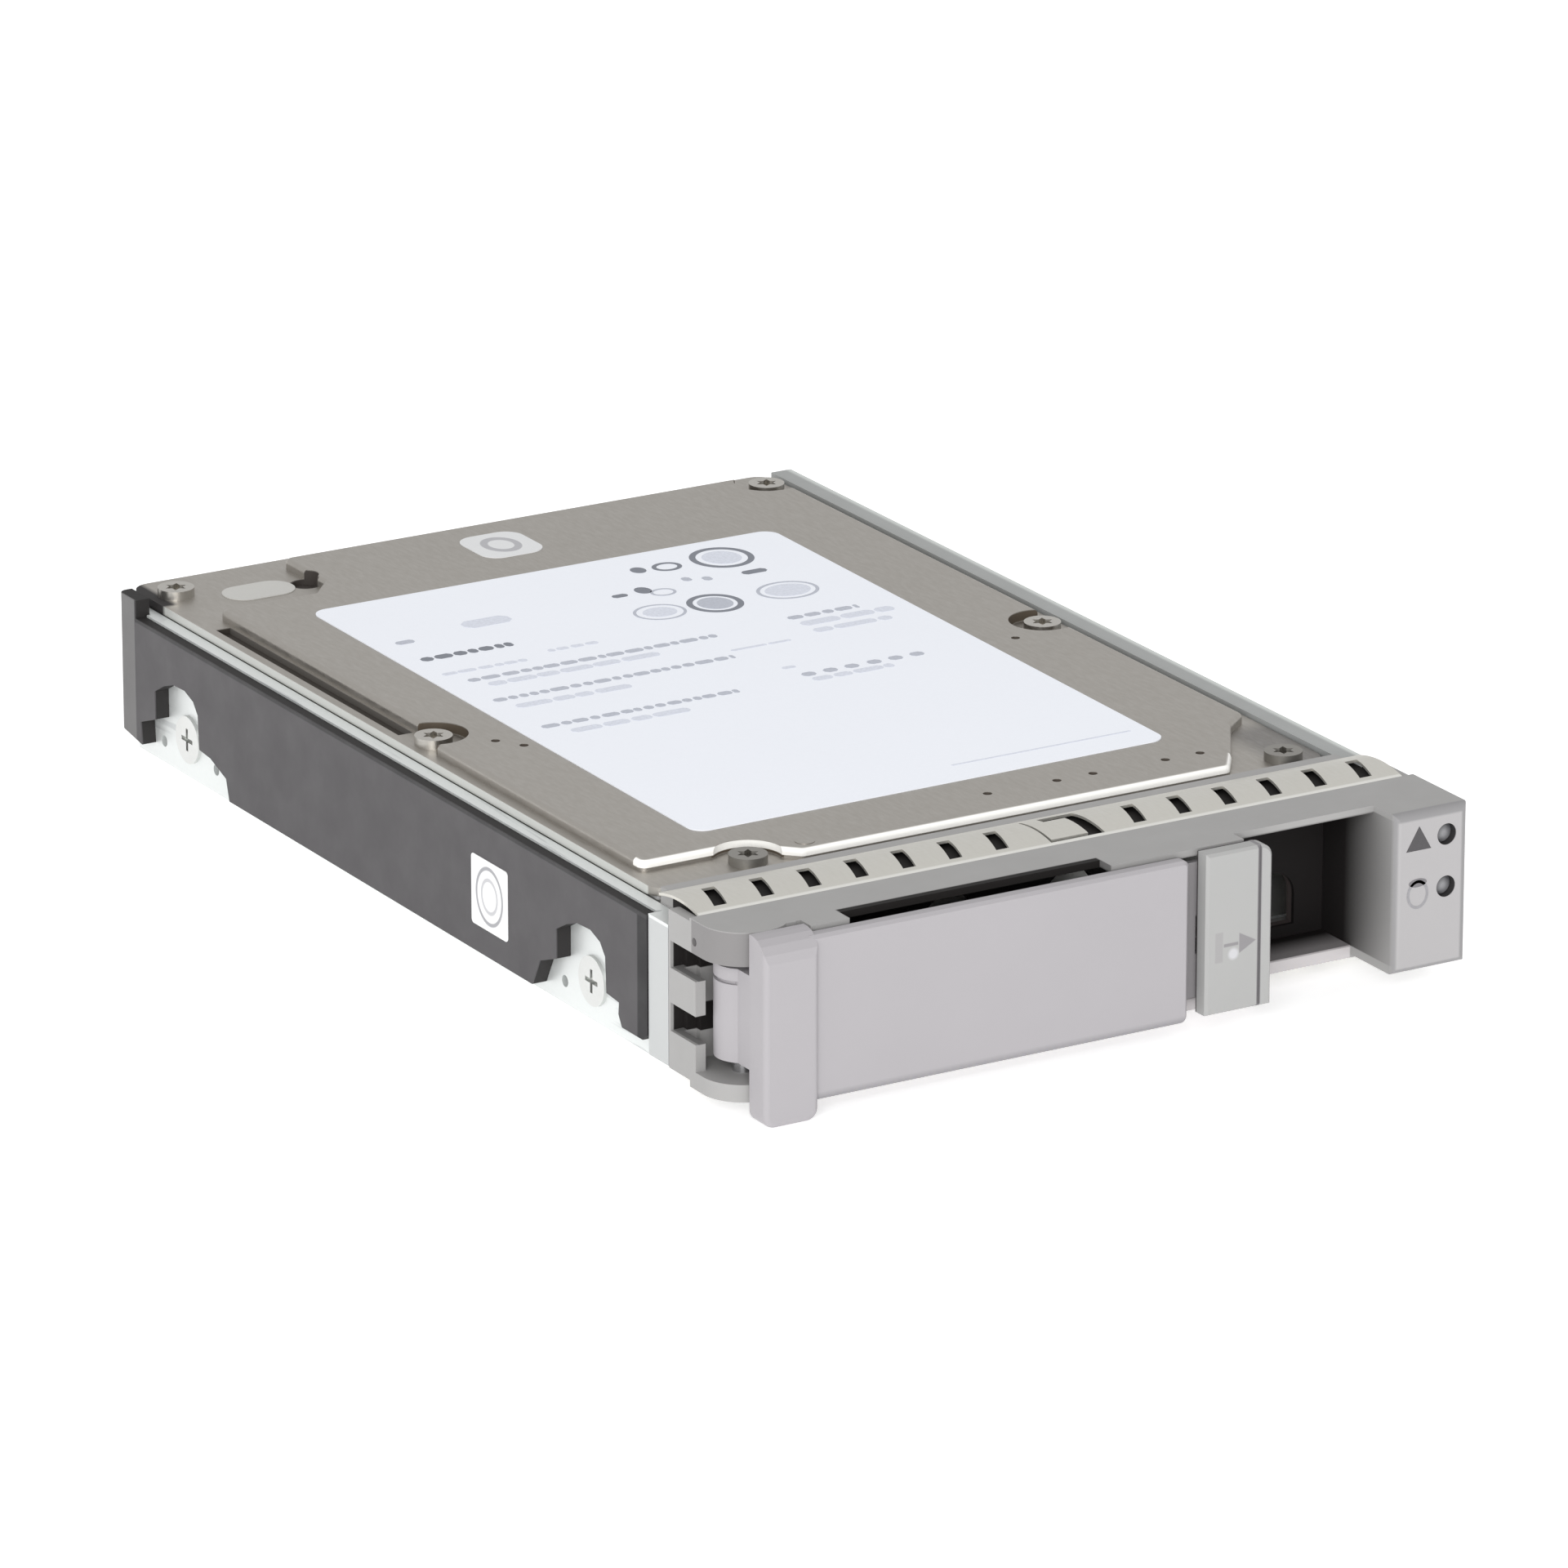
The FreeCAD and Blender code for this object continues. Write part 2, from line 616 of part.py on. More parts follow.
def magnet_sector(inner, outer, span, half_angle):
    """A flat sector about the actuator's axis, centred on the middle of the coil's swing."""
    reach = 40.0
    rise = reach * math.tan(math.radians(half_angle))
    wedge = arm_shape([(0, 0), (reach, -rise), (reach, rise)], span, COIL_ANGLE + SWING / 2)
    room = block((-30.5, 30.6), (56.4, 93.0), span)
    return common(common(ring("z", pivot, span, inner, outer), wedge), room)


def voice_coil_motor():
    lower_top, upper_low = 5.7, 12.4
    posts = [rod("z", about_pivot(radius, angle), (lower_top, upper_low), 1.3)
             for radius, angle in ((18.4, 8.0), (18.6, 47.0))]
    piece("lower_yoke", fuse(magnet_sector(7.2, 20.4, (d.floor_top, lower_top), 42.0), *posts))
    piece("upper_yoke", magnet_sector(7.2, 20.4, (upper_low, 13.5), 42.0))
    magnets = [magnet_sector(8.6, 15.6, (lower_top, 7.9), 34.0),
               magnet_sector(8.6, 15.6, (11.2, upper_low), 34.0)]
    piece("voice_coil_magnets", group(magnets))


def load_ramp():
    """A comb at the disks' edge that the lift tabs climb when the heads park."""
    root = block((-30.5, -25.6), (60.2, 68.0), (d.floor_top, 13.2))
    reach = rod("z", pivot, (4.0, 15.0), 39.2)
    disks_clear = rod("z", spindle, (4.0, 15.0), d.bowl_radius)
    return piece("load_ramp", cut(root, reach, disks_clear))


def inner_fittings():
    # One rubber-sleeved post meets each side of the coil at the ends of its swing.
    stops = []
    for angle in (COIL_ANGLE - 35.6, COIL_ANGLE + SWING + 35.6):
        place = about_pivot(14.7, angle)
        stops.append(fuse(rod("z", place, (d.floor_top, 11.4), 0.8), rod("z", place, (8.2, 11.2), 1.2)))
    piece("crash_stops", group(stops))
    latch = fuse(block((-6.0, -1.0), (88.4, 91.6), (d.floor_top, 8.4)),
                 rod("z", (-3.5, 90.0), (8.4, 11.0), 1.2))
    piece("actuator_latch", latch)
    piece("flex_bracket", fuse(block((-22.0, -9.0), (84.0, 92.6), (d.floor_top, 6.6)),
                               block((-21.0, -18.6), (85.0, 91.6), (6.6, 11.8))))
    ribbon = [(-18.6, 86.0), (-10.0, 86.0), (-1.6, 82.6), (1.4, 81.0), (1.6, 81.2), (-1.4, 82.9),
              (-9.9, 86.3), (-18.6, 86.3)]
    piece("actuator_flex", prism("xy", ribbon, (7.4, 11.6)))
    piece("recirculation_filter", rounded(block((24.6, 30.8), (58.6, 61.2), (5.4, 12.2)), 0.6,
                                          lambda edge: runs_along(edge, "z")))
    piece("breather_filter", rod("z", (-26.2, 78.0), (d.floor_top, 7.6), 3.2))


# ---------------------------------------------------------------- circuit board and connector

CHIPS = [((-15.0, -1.0), (44.0, 58.0), 1.0), ((4.0, 12.0), (46.0, 58.0), 0.9),
         ((-22.0, -14.0), (24.0, 32.0), 0.9), ((12.0, 17.0), (26.0, 32.0), 0.8),
         ((-4.0, 1.0), (70.0, 74.0), 0.8), ((14.0, 22.0), (64.0, 71.0), 0.9),
         ((-20.0, -16.8), (62.0, 64.5), 0.7)]


def circuit_board():
    low, high = 0.5, 1.4
    narrow = block((-27.2, 27.2), (4.4, 93.4), (low, high))
    wide = block((-32.0, 32.0), (16.4, 79.6), (low, high))
    holes = screw_holes(BOARD_SCREWS, (low - above, high + above), BOARD_SHANK)
    motor_window = rod("z", spindle, (low - above, high + above), 3.6)
    piece("circuit_board", cut(fuse(narrow, wide), motor_window, *holes))
    piece("board_chips", group([block(x, y, (high, high + tall)) for x, y, tall in CHIPS]))
    parts = []
    for row_index, y in enumerate((18.5, 38.0, 61.0, 66.5, 77.0)):
        for column in range(8):
            x = -12.0 + 3.1 * column + 0.4 * (row_index % 2)
            parts.append(block((x, x + 1.0), (y, y + 0.5), (high, high + 0.4)))
    piece("board_passives", group(parts))
    pads = [rod("z", (-30.0, y), (low - 0.08, low), 0.5) for y in range(22, 76, 6)]
    pads += [rod("z", (x, 8.0), (low - 0.08, low), 0.45) for x in range(-14, 15, 4)]
    piece("board_test_pads", group(pads))
    piece("board_insulator", block((-25.0, 25.0), (18.0, 82.0), (2.6, d.board_bay)))
    heads = [screw("z", place, low, -1, (1.5, 0.45), (BOARD_SHANK, 3.4)) for place in BOARD_SCREWS]
    piece("board_screws", group(heads))


def rear_connector():
    shell = block((-21.0, 21.0), (93.6, d.drive_deep - 0.25), (0.45, 4.3))
    mouth = block((-20.1, 20.1), (95.8, d.drive_deep + above), (0.95, 3.85))
    tongue = block((-19.0, 18.6), (95.0, d.drive_deep - 0.6), (1.85, 2.95))
    # A key block splits the power contacts from the data contacts.
    key_slot = block((3.2, 4.4), (95.8, d.drive_deep + above), (0.0, 1.85))
    piece("rear_connector", fuse(cut(shell, mouth, key_slot), tongue))
    pitch = 1.27
    under = [-18.2 + pitch * index for index in range(15)] + [5.6 + pitch * index for index in range(10)]
    contacts = [block((x, x + 0.8), (96.0, 99.6), (1.73, 1.85)) for x in under]
    contacts += [block((-3.2 + pitch * index, -2.4 + pitch * index), (96.0, 99.6), (2.95, 3.07))
                 for index in range(7)]
    piece("connector_contacts", group(contacts))


# ---------------------------------------------------------------- carrier

TRAY_LOW = -0.8
RIVET_HEIGHTS = (1.9, 8.6)
RIVET_Y = -3.6
RIVET_RADIUS = 0.45
tray_outside = d.tray_inside + d.tray_gauge
SCREW_YS = (d.hole_front, d.hole_rear)
RAIL_TOP = 12.95
RAIL_FRONT = -2.0
RAIL_REAR = 97.85


def carrier_tray():
    floor = block((-tray_outside, tray_outside), (-1.9, d.tray_rear), (TRAY_LOW, 0))
    window = block((-33.0, 33.0), (5.0, 91.0), (TRAY_LOW - 1, 1))
    gap = block((-23.0, 23.0), (90.0, d.tray_rear + 1), (TRAY_LOW - 1, 1))
    walls = [block(sideways(side, d.tray_inside, tray_outside), (d.tray_front, d.tray_rear),
                   (TRAY_LOW, d.tray_top)) for side in (-1, 1)]
    rim = block((-36.35, -d.tray_inside), (-1.9, 94.0), (RAIL_TOP + 0.02, d.tray_top))
    turned_end = block((left_face + 0.1, -d.tray_inside), (-5.5, RAIL_FRONT - 0.1), (0.2, d.tray_top))
    across = (-d.carrier_half, d.carrier_half)
    holes = [rod("x", (y, d.side_hole_height), across, 1.6) for y in SCREW_YS]
    relief = [rod("x", (y + 5.3, 1.3), across, 0.55) for y in SCREW_YS]
    relief += [rod("x", (y - 5.2, 1.5), across, 0.55) for y in SCREW_YS]
    strip_relief = block(across, (-6.0, -2.0), (TRAY_LOW - 1, 0.15))
    metal = fuse(cut(floor, window, gap), *walls, rim, turned_end)
    return piece("carrier_tray", cut(metal, *holes, *relief, *rivet_shanks(), strip_relief))


def notch(hole, toe, low):
    """Half-arch in a rail's lower edge round a mounting screw, from its front toe to its rear toe."""
    arch = [(-6.9, 3.4), (-4.7, 3.6), (-4.5, 6.9), (-3.6, 8.0), (-1.9, 8.6), (0.4, 8.5), (2.4, 7.8),
            (4.2, 6.8), (4.2, 4.0), (7.2, 2.9)]
    start = [(hole - toe, low), (hole - toe + 0.6, 2.3)]
    return start + [(hole + y, z) for y, z in arch] + [(hole + 8.6, low)]


def rail_outline(top, end_top, rear):
    """Side view of a rail cover: two notches in its lower edge show the mounting screws."""
    front_low, low, rear_low = 1.25, 0.25, 0.7
    front_notch = notch(d.hole_front, 7.4, front_low)
    front_notch[-1] = (front_notch[-1][0], low)
    rear_notch = notch(d.hole_rear, 10.6, low)
    rear_notch[-1] = (rear_notch[-1][0] - 1.6, rear_low)
    end = [(rear, 1.4), (rear, end_top)]
    if end_top > top:
        end += [(94.3, end_top), (94.3, top)]
    start = [(RAIL_FRONT, 1.9), (RAIL_FRONT + 0.8, front_low)]
    return start + front_notch + rear_notch + end + [(RAIL_FRONT, top)]


def left_rail_cover():
    body = prism("yz", rail_outline(RAIL_TOP, 14.7, RAIL_REAR), (left_face, -tray_outside - 0.02))
    body = rounded(body, 0.9, lambda edge: runs_along(edge, "z") and near(middle(edge).y, RAIL_REAR)
                   and near(middle(edge).x, left_face))
    return piece("left_rail_cover", body)


def right_rail_cover():
    top = 14.35
    rear = 99.8
    side = prism("yz", rail_outline(top, top, rear), (tray_outside + 0.02, d.carrier_half))
    band = block((35.2, d.carrier_half), (RAIL_FRONT, rear), (d.tray_top + 0.05, top))
    across = (tray_outside - 1, tray_outside + 0.95)
    along = (RAIL_FRONT - 1, rear + 1)
    grooves = [block(across, along, (z - 0.6, z + 0.6)) for z in (d.lamp_high, d.lamp_low)]
    return piece("right_rail_cover", cut(fuse(side, band), *grooves))


def light_pipes():
    """Clear bars that carry the host's indicator light from the rear end to the front lenses."""
    pipes = []
    for z in (d.lamp_high, d.lamp_low):
        inner = tray_outside + 0.08
        path = [(inner, 96.5), (inner, -4.6), (34.5, -9.0), (34.5, -15.6), (35.7, -15.6), (35.7, -9.0),
                (inner + 0.75, -5.0), (inner + 0.75, 96.5)]
        bar = prism("xy", path, (z - 0.5, z + 0.5))
        lens = rod("y", (d.lamp_x, z), (d.housing_front + 0.8, -15.5), d.lamp_radius)
        pipes.append(fuse(bar, lens))
    return piece("light_pipes", group(pipes))


EAR_TOP_LOW = 11.9
EAR_BOTTOM = (-0.5, 1.1)
FLOOR = (-0.3, 0.9)
ROOF_LOW = 14.35
RECESS_LEFT = 16.9
STRIP_SEAT = 14.7
SIDE_WALL_FRONT = -10.2
PIN = (-0.4, 13.8)
hinge = (d.hinge_x, d.hinge_y)


def bezel_frame():
    inner_right = 30.4
    strip_room = d.strip_front - 0.2
    lip_back = d.bar_front + 0.2
    frame = [
        # Plates under the contact strips.
        block((-35.0, 35.0), (strip_room, -0.3), (13.3, STRIP_SEAT)),
        block((-d.strip_half, d.strip_half), (strip_room, -5.7), (13.3, STRIP_SEAT)),
        block((-35.0, 35.0), (strip_room, -2.1), (0.1, 0.9)),
        block((-d.strip_half, d.strip_half), (strip_room, -5.7), (0.1, 0.9)),
        # Thin roof and floor behind the lever. The floor is cut back in the finger recess.
        block((-30.0, inner_right), (d.bar_front, d.strip_front), (ROOF_LOW, d.bezel_top)),
        block((-30.0, RECESS_LEFT), (-15.6, d.strip_front), FLOOR),
        block((-30.0, inner_right), (-11.4, d.strip_front), FLOOR),
        # Lips that reach forward to the lever's top edge.
        block((-29.4, -25.5), (d.lip_front, lip_back), (ROOF_LOW, d.bezel_top)),
        block((1.0, 14.8), (d.lip_front, lip_back), (ROOF_LOW, d.bezel_top)),
        # Side lugs that sit inside the tray.
        block((-d.tray_inside + 0.05, -33.8), (-7.2, -0.3), (0.9, 13.3)),
        block((33.8, d.tray_inside - 0.05), (-6.2, -0.3), (0.9, 13.3)),
        # Wall between the hinge corner and the tray.
        block((left_face + 0.1, -36.3), (SIDE_WALL_FRONT, -5.6), (0.1, STRIP_SEAT)),
        block((left_face + 0.1, -33.8), (-6.5, -5.6), (0.1, STRIP_SEAT)),
        # Catch for the release button's hook.
        block((15.35, 16.6), (-15.6, -14.9), (0.8, 9.6)),
    ]
    ears = []
    for span in ((EAR_TOP_LOW, d.bezel_top), EAR_BOTTOM):
        ears.append(rod("z", hinge, span, d.ear_radius))
        ears.append(block((d.hinge_x - d.ear_radius, d.hinge_x), (d.hinge_y, -5.6), span))
        ears.append(block((d.hinge_x, -29.9), (d.hinge_y - 3.2, d.strip_front), span))
    # The strips sit in a step behind the roof.
    step = block((-40, 40), (d.strip_front, 0), (STRIP_SEAT, 16))
    step_below = block((-40, 40), (d.strip_front, 0), (-1, 0.1))
    back_wall = block((-34.0, 31.0), (-6.6, -5.4), (0.9, STRIP_SEAT))
    vents = [arch_vent(x, 3.0, 8.4) for x in (-22.0, -9.5, 3.0, 15.0)]
    vents.append(arch_vent(24.4, 2.2, 4.9))
    pin_hole = rod("z", hinge, (PIN[0] - 1, PIN[1]), d.pin_radius)
    side = (left_face - 1, -36.0)
    windows = [block(side, (SIDE_WALL_FRONT - 1, -5.9), span) for span in ((9.4, 11.9), (3.6, 6.2))]
    windows.append(rod("x", (-10.0, 13.0), (left_face - 1, -36.6), 0.38))
    body = fuse(*frame, *ears, cut(back_wall, *vents), indicator_housing())
    return piece("bezel_frame", cut(body, step, step_below, pin_hole, *windows, *rivet_shanks()))


def arch_vent(x, half, spring_line):
    """An air opening with a round top through the bezel's back wall."""
    span = (-8.0, -4.0)
    opening = block((x - half, x + half), span, (2.0, spring_line))
    return fuse(opening, rod("y", (x, spring_line), span, half))


def indicator_housing():
    low, wall = 0.0, 1.1
    shell = block((d.recess_right, housing_right), (d.housing_front, -4.6), (low, d.bezel_top))
    shell = rounded(shell, 0.7, lambda edge: near(middle(edge).y, d.housing_front))
    hollow = [(30.9, -16.6), (36.4, -16.6), (36.4, -8.0), (36.9, -4.0), (30.9, -4.0)]
    lamp_holes = [rod("y", (d.lamp_x, z), (d.housing_front - 1, -16.0), d.lamp_radius + 0.05)
                  for z in (d.lamp_high, d.lamp_low)]
    rear_gap = block((d.tray_inside - 0.02, 40), (-4.7, 0), (-1, 16))
    return cut(shell, prism("xy", hollow, (low + wall, d.bezel_top - wall)), rear_gap, *lamp_holes)


STRIP_GAUGE = 0.25
STRIP_SLOTS = 15


def strip_arch(base, rise):
    """Side view of a contact strip: a shallow arch, drawn as short chords, with its own thickness."""
    steps = 10
    centre = (number(d.strip_front) + number(d.strip_rear)) / 2
    half = (number(d.strip_rear) - number(d.strip_front)) / 2
    outer = []
    inner = []
    way = 1 if rise > 0 else -1
    for index in range(steps + 1):
        across = -1.0 + 2.0 * index / steps
        y = centre + across * half
        z = base + rise * (1.0 - across * across)
        outer.append((y, z))
        inner.append((y, z - way * STRIP_GAUGE))
    return outer + inner[::-1]


def slanted_slot(x, half):
    """A slot between two fingers, leaning to the left towards the front edge."""
    lean = 0.5
    rear = [(x + lean - half, -4.2), (x + lean + half, -4.2)]
    return rear + [(x - lean + half, -8.2), (x - lean - half, -8.2)]


def contact_strip(name, base, rise):
    """A springy grounding strip that bridges the carrier to the bay, slotted into fingers."""
    through = (base - 3, base + 3)
    band = prism("yz", strip_arch(base, rise), (-d.strip_half, d.strip_half))
    slots = []
    for index in range(STRIP_SLOTS):
        if index in (7, 8):
            continue
        x = 0.2 + number(d.strip_pitch) * (index - 7)
        slots.append(prism("xy", slanted_slot(x, number(d.strip_slot) / 2), through))
    # One wide window holds a tab that stays attached at its rear left corner.
    window = block((-0.35, 5.2), (-8.7, -3.2), through)
    tab = fuse(block((-0.1, 3.7), (-8.3, -4.4), through), block((-0.1, 1.5), (-4.5, -3.1), through))
    tab = common(tab, prism("yz", strip_arch(base, rise), (-10, 10)))
    return piece(name, fuse(cut(band, window, *slots), tab))


# ---------------------------------------------------------------- ejector lever and its button

LEVER_BACK = -16.65
POST_BACK = -15.75
BARREL = (2.6, 11.2)
SPRING_SPAN = (9.2, 11.0)
BUTTON_SPRING = (-16.0, 7.0)
BUTTON_SLOT = (9.8, 14.3)
STEM_LEFT = 12.4


def lever_post():
    """The thumb post: it reaches the floor, and its top slopes back to the lever's top edge."""
    profile = [(d.lever_front, -2.0), (d.lever_front, 13.0), (-18.25, 13.8), (-17.75, 14.5), (-17.1, 14.95),
               (-16.4, d.lever_high), (POST_BACK, d.lever_high), (POST_BACK, -2.0)]
    post = prism("yz", profile, (-35.2, -29.8))
    post = rounded(post, 1.1, lambda edge: runs_along(edge, "y") and near(middle(edge).z, -2.0))
    return rounded(post, 0.5, lambda edge: runs_along(edge, "z") and near(middle(edge).y, d.lever_front))


def ejector_lever():
    panel = block((-30.4, 8.2), (d.panel_front, LEVER_BACK), (d.lever_low, d.panel_high))
    panel = rounded(panel, 0.6, lambda edge: runs_along(edge, "y") and near(middle(edge).x, 8.2))
    panel = bevelled(panel, 0.3, lambda edge: near(middle(edge).y, d.panel_front))
    barrel = rod("z", hinge, BARREL, d.barrel_radius)
    collar_groove = ring("z", hinge, (9.7, 10.05), d.barrel_radius - 0.3, d.barrel_radius + 1)
    web = block((-35.0, -29.9), (-16.8, d.hinge_y), BARREL)
    tongue = block((2.0, 15.0), (LEVER_BACK - 0.4, -15.75), (1.2, 13.8))
    button_room = block((8.4, 16.0), (-19.0, LEVER_BACK + 0.25), (0, 16))
    slot = block(BUTTON_SLOT, (-18.0, -15.0), (5.2, 8.8))
    bore = rod("z", hinge, (0, 14), d.pin_radius + d.running)
    spring_room = rod("z", hinge, (SPRING_SPAN[0] - 0.3, BARREL[1] + 1), 2.0)
    body = fuse(panel, lever_post(), cut(barrel, collar_groove), web, cut(tongue, button_room))
    return piece("ejector_lever", cut(body, slot, bore, spring_room))


def lever_pin():
    return piece("lever_pin", rod("z", hinge, PIN, d.pin_radius))


def release_button():
    cap = block((d.button_left, d.button_right), (d.lever_front, -16.8), (d.button_low, d.lever_high - 0.1))
    cap = rounded(cap, 1.2, lambda edge: runs_along(edge, "y") and near(middle(edge).z, d.lever_high - 0.1)
                  and near(middle(edge).x, d.button_right))
    cap = bevelled(cap, 0.25, lambda edge: near(middle(edge).y, d.lever_front))
    stem = block((STEM_LEFT, 14.0), (-17.0, -14.2), (5.6, 8.4))
    hook = block((STEM_LEFT, 15.0), (-14.75, -14.2), (5.6, 8.4))
    groove = block((15.0, 15.3), (-19.0, d.lever_front + 0.25), (-1.0, 16.0))
    return piece("release_button", cut(fuse(cap, stem, hook), groove))


def springs():
    piece("lever_spring", coil(d.hinge_x, d.hinge_y, SPRING_SPAN, 1.5, 0.22, 3))
    button_coil = coil(0, 0, (BUTTON_SLOT[0] + 0.12, STEM_LEFT - 0.12), 0.5, 0.1, 5)
    turned = group([button_coil])
    turned.Placement = FreeCAD.Placement(Vector(0, BUTTON_SPRING[0], BUTTON_SPRING[1]), TURN_TO["x"])
    piece("button_spring", group([turned]))


def mounting_screws():
    """Flat-headed screws through the tray's walls into the drive's side holes."""
    head_tall, shank_long = 0.35, 3.6
    solids = []
    for y in SCREW_YS:
        place = (y, d.side_hole_height)
        for side in (-1, 1):
            head = rod("x", place, sideways(side, tray_outside, tray_outside + head_tall), 2.3)
            shank = rod("x", place, sideways(side, tray_outside - shank_long, tray_outside), 1.2)
            recess = cross(place, sideways(side, tray_outside - 0.3, tray_outside + 1), 1.1, 0.42)
            solids.append(cut(fuse(head, shank), recess))
    return piece("mounting_screws", group(solids))


def rivet_shanks():
    """Two shanks a side, through the tray's walls and the bezel's lugs."""
    return [rod("x", (RIVET_Y, z), sideways(side, 33.7, tray_outside), RIVET_RADIUS)
            for z in RIVET_HEIGHTS for side in (-1, 1)]


def bezel_rivets():
    return piece("bezel_rivets", group(rivet_shanks()))


def rail_sticker():
    patch = block((left_face - 0.06, left_face), (22.7, 29.3), (2.8, 9.4))
    return piece("rail_sticker", rounded(patch, 0.4, lambda edge: runs_along(edge, "x")))


def build_all():
    drive_base()
    cover_gasket()
    top_cover()
    cover_screws()
    cover_labels()
    spindle_motor()
    spindle_hub()
    disk_stack()
    actuator_arms()
    voice_coil()
    pivot_bearing()
    head_stack()
    voice_coil_motor()
    load_ramp()
    inner_fittings()
    circuit_board()
    rear_connector()
    carrier_tray()
    left_rail_cover()
    right_rail_cover()
    light_pipes()
    bezel_frame()
    contact_strip("contact_strip_top", STRIP_SEAT + STRIP_GAUGE, 0.5)
    contact_strip("contact_strip_bottom", 0.1 - STRIP_GAUGE, -0.5)
    ejector_lever()
    lever_pin()
    release_button()
    springs()
    mounting_screws()
    bezel_rivets()
    rail_sticker()


def check_and_write():
    document.recompute()
    for thing in document.Objects:
        if "Invalid" in thing.State or "Error" in thing.State:
            raise RuntimeError("%s (%s) did not recompute: %s" % (thing.Name, thing.Label, thing.State))
    for thing in pieces:
        if thing.Shape.isNull() or not thing.Shape.isValid() or not thing.Shape.Solids:
            raise RuntimeError("%s has no valid solid" % thing.Label)
    os.makedirs("parts", exist_ok=True)
    for thing in pieces:
        box = thing.Shape.BoundBox
        thing.Shape.exportStep("parts/%s.step" % thing.Label)
        print("%-22s %2d solids %9.2f mm3  x %7.2f %7.2f  y %7.2f %7.2f  z %6.2f %6.2f" % (
            thing.Label, len(thing.Shape.Solids), thing.Shape.Volume,
            box.XMin, box.XMax, box.YMin, box.YMax, box.ZMin, box.ZMax))


build_all()
check_and_write()
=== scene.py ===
import json
import math
import random

import bmesh
import bpy
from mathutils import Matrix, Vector


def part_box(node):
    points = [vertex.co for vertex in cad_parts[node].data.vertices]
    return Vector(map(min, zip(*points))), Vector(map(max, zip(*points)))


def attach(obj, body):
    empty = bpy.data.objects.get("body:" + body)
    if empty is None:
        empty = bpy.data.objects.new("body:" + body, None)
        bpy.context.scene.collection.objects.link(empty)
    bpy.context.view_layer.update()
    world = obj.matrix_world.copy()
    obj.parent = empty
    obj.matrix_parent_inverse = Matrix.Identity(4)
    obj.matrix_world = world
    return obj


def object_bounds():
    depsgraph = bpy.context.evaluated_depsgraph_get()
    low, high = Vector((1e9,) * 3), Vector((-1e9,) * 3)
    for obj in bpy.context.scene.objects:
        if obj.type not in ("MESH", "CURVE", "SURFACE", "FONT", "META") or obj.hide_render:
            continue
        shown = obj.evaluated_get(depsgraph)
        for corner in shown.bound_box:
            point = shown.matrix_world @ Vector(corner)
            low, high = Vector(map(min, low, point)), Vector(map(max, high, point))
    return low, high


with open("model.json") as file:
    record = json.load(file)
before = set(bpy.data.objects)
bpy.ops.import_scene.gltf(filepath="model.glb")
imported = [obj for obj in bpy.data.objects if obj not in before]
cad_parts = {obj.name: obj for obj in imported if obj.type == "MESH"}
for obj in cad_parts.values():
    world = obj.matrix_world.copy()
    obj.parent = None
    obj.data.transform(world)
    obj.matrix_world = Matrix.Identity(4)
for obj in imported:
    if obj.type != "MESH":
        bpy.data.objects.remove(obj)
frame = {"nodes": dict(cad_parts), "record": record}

# A 2.5-inch hard disk drive in its hot-swap carrier, dressed and lit like the photograph. Lengths are in
# metres, often written as millimetres times MM. A comment says where plain millimetres are given.
cad_low, cad_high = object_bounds()
nodes = frame["nodes"]
scene = bpy.context.scene
MM = 0.001

# ---------------------------------------------------------------- camera

CAMERA_AZIMUTH = -30.62
CAMERA_ELEVATION = 18.975
CAMERA_DISTANCE = 984.5 * MM
CAMERA_TARGET = Vector((9.878, 13.567, 2.0)) * MM
# Focal length and sensor width in mm, as Blender's camera takes them.
CAMERA_LENS = 241.93
SENSOR_WIDTH = 36.0


def make_camera():
    """A long lens, low and to the left of the object's front."""
    data = bpy.data.cameras.new("camera")
    data.lens = CAMERA_LENS
    data.sensor_width = SENSOR_WIDTH
    data.clip_start = 0.05
    data.clip_end = 20.0
    camera = bpy.data.objects.new("camera", data)
    scene.collection.objects.link(camera)
    turn = math.radians(CAMERA_AZIMUTH)
    rise = math.radians(CAMERA_ELEVATION)
    back = Vector((math.sin(turn) * math.cos(rise), -math.cos(turn) * math.cos(rise), math.sin(rise)))
    camera.location = CAMERA_TARGET + back * CAMERA_DISTANCE
    camera.rotation_mode = "QUATERNION"
    camera.rotation_quaternion = (-back).to_track_quat("-Z", "Y")
    scene.camera = camera


make_camera()

# ---------------------------------------------------------------- shader helpers


def linear(red, green, blue):
    """An sRGB colour given in 0 to 255 as linear values."""
    def channel(value):
        value = value / 255.0
        return value / 12.92 if value <= 0.04045 else ((value + 0.055) / 1.055) ** 2.4
    return (channel(red), channel(green), channel(blue))


def tinted(colour, factor):
    """A colour made lighter or darker."""
    return tuple(min(1.0, part * factor) for part in colour)


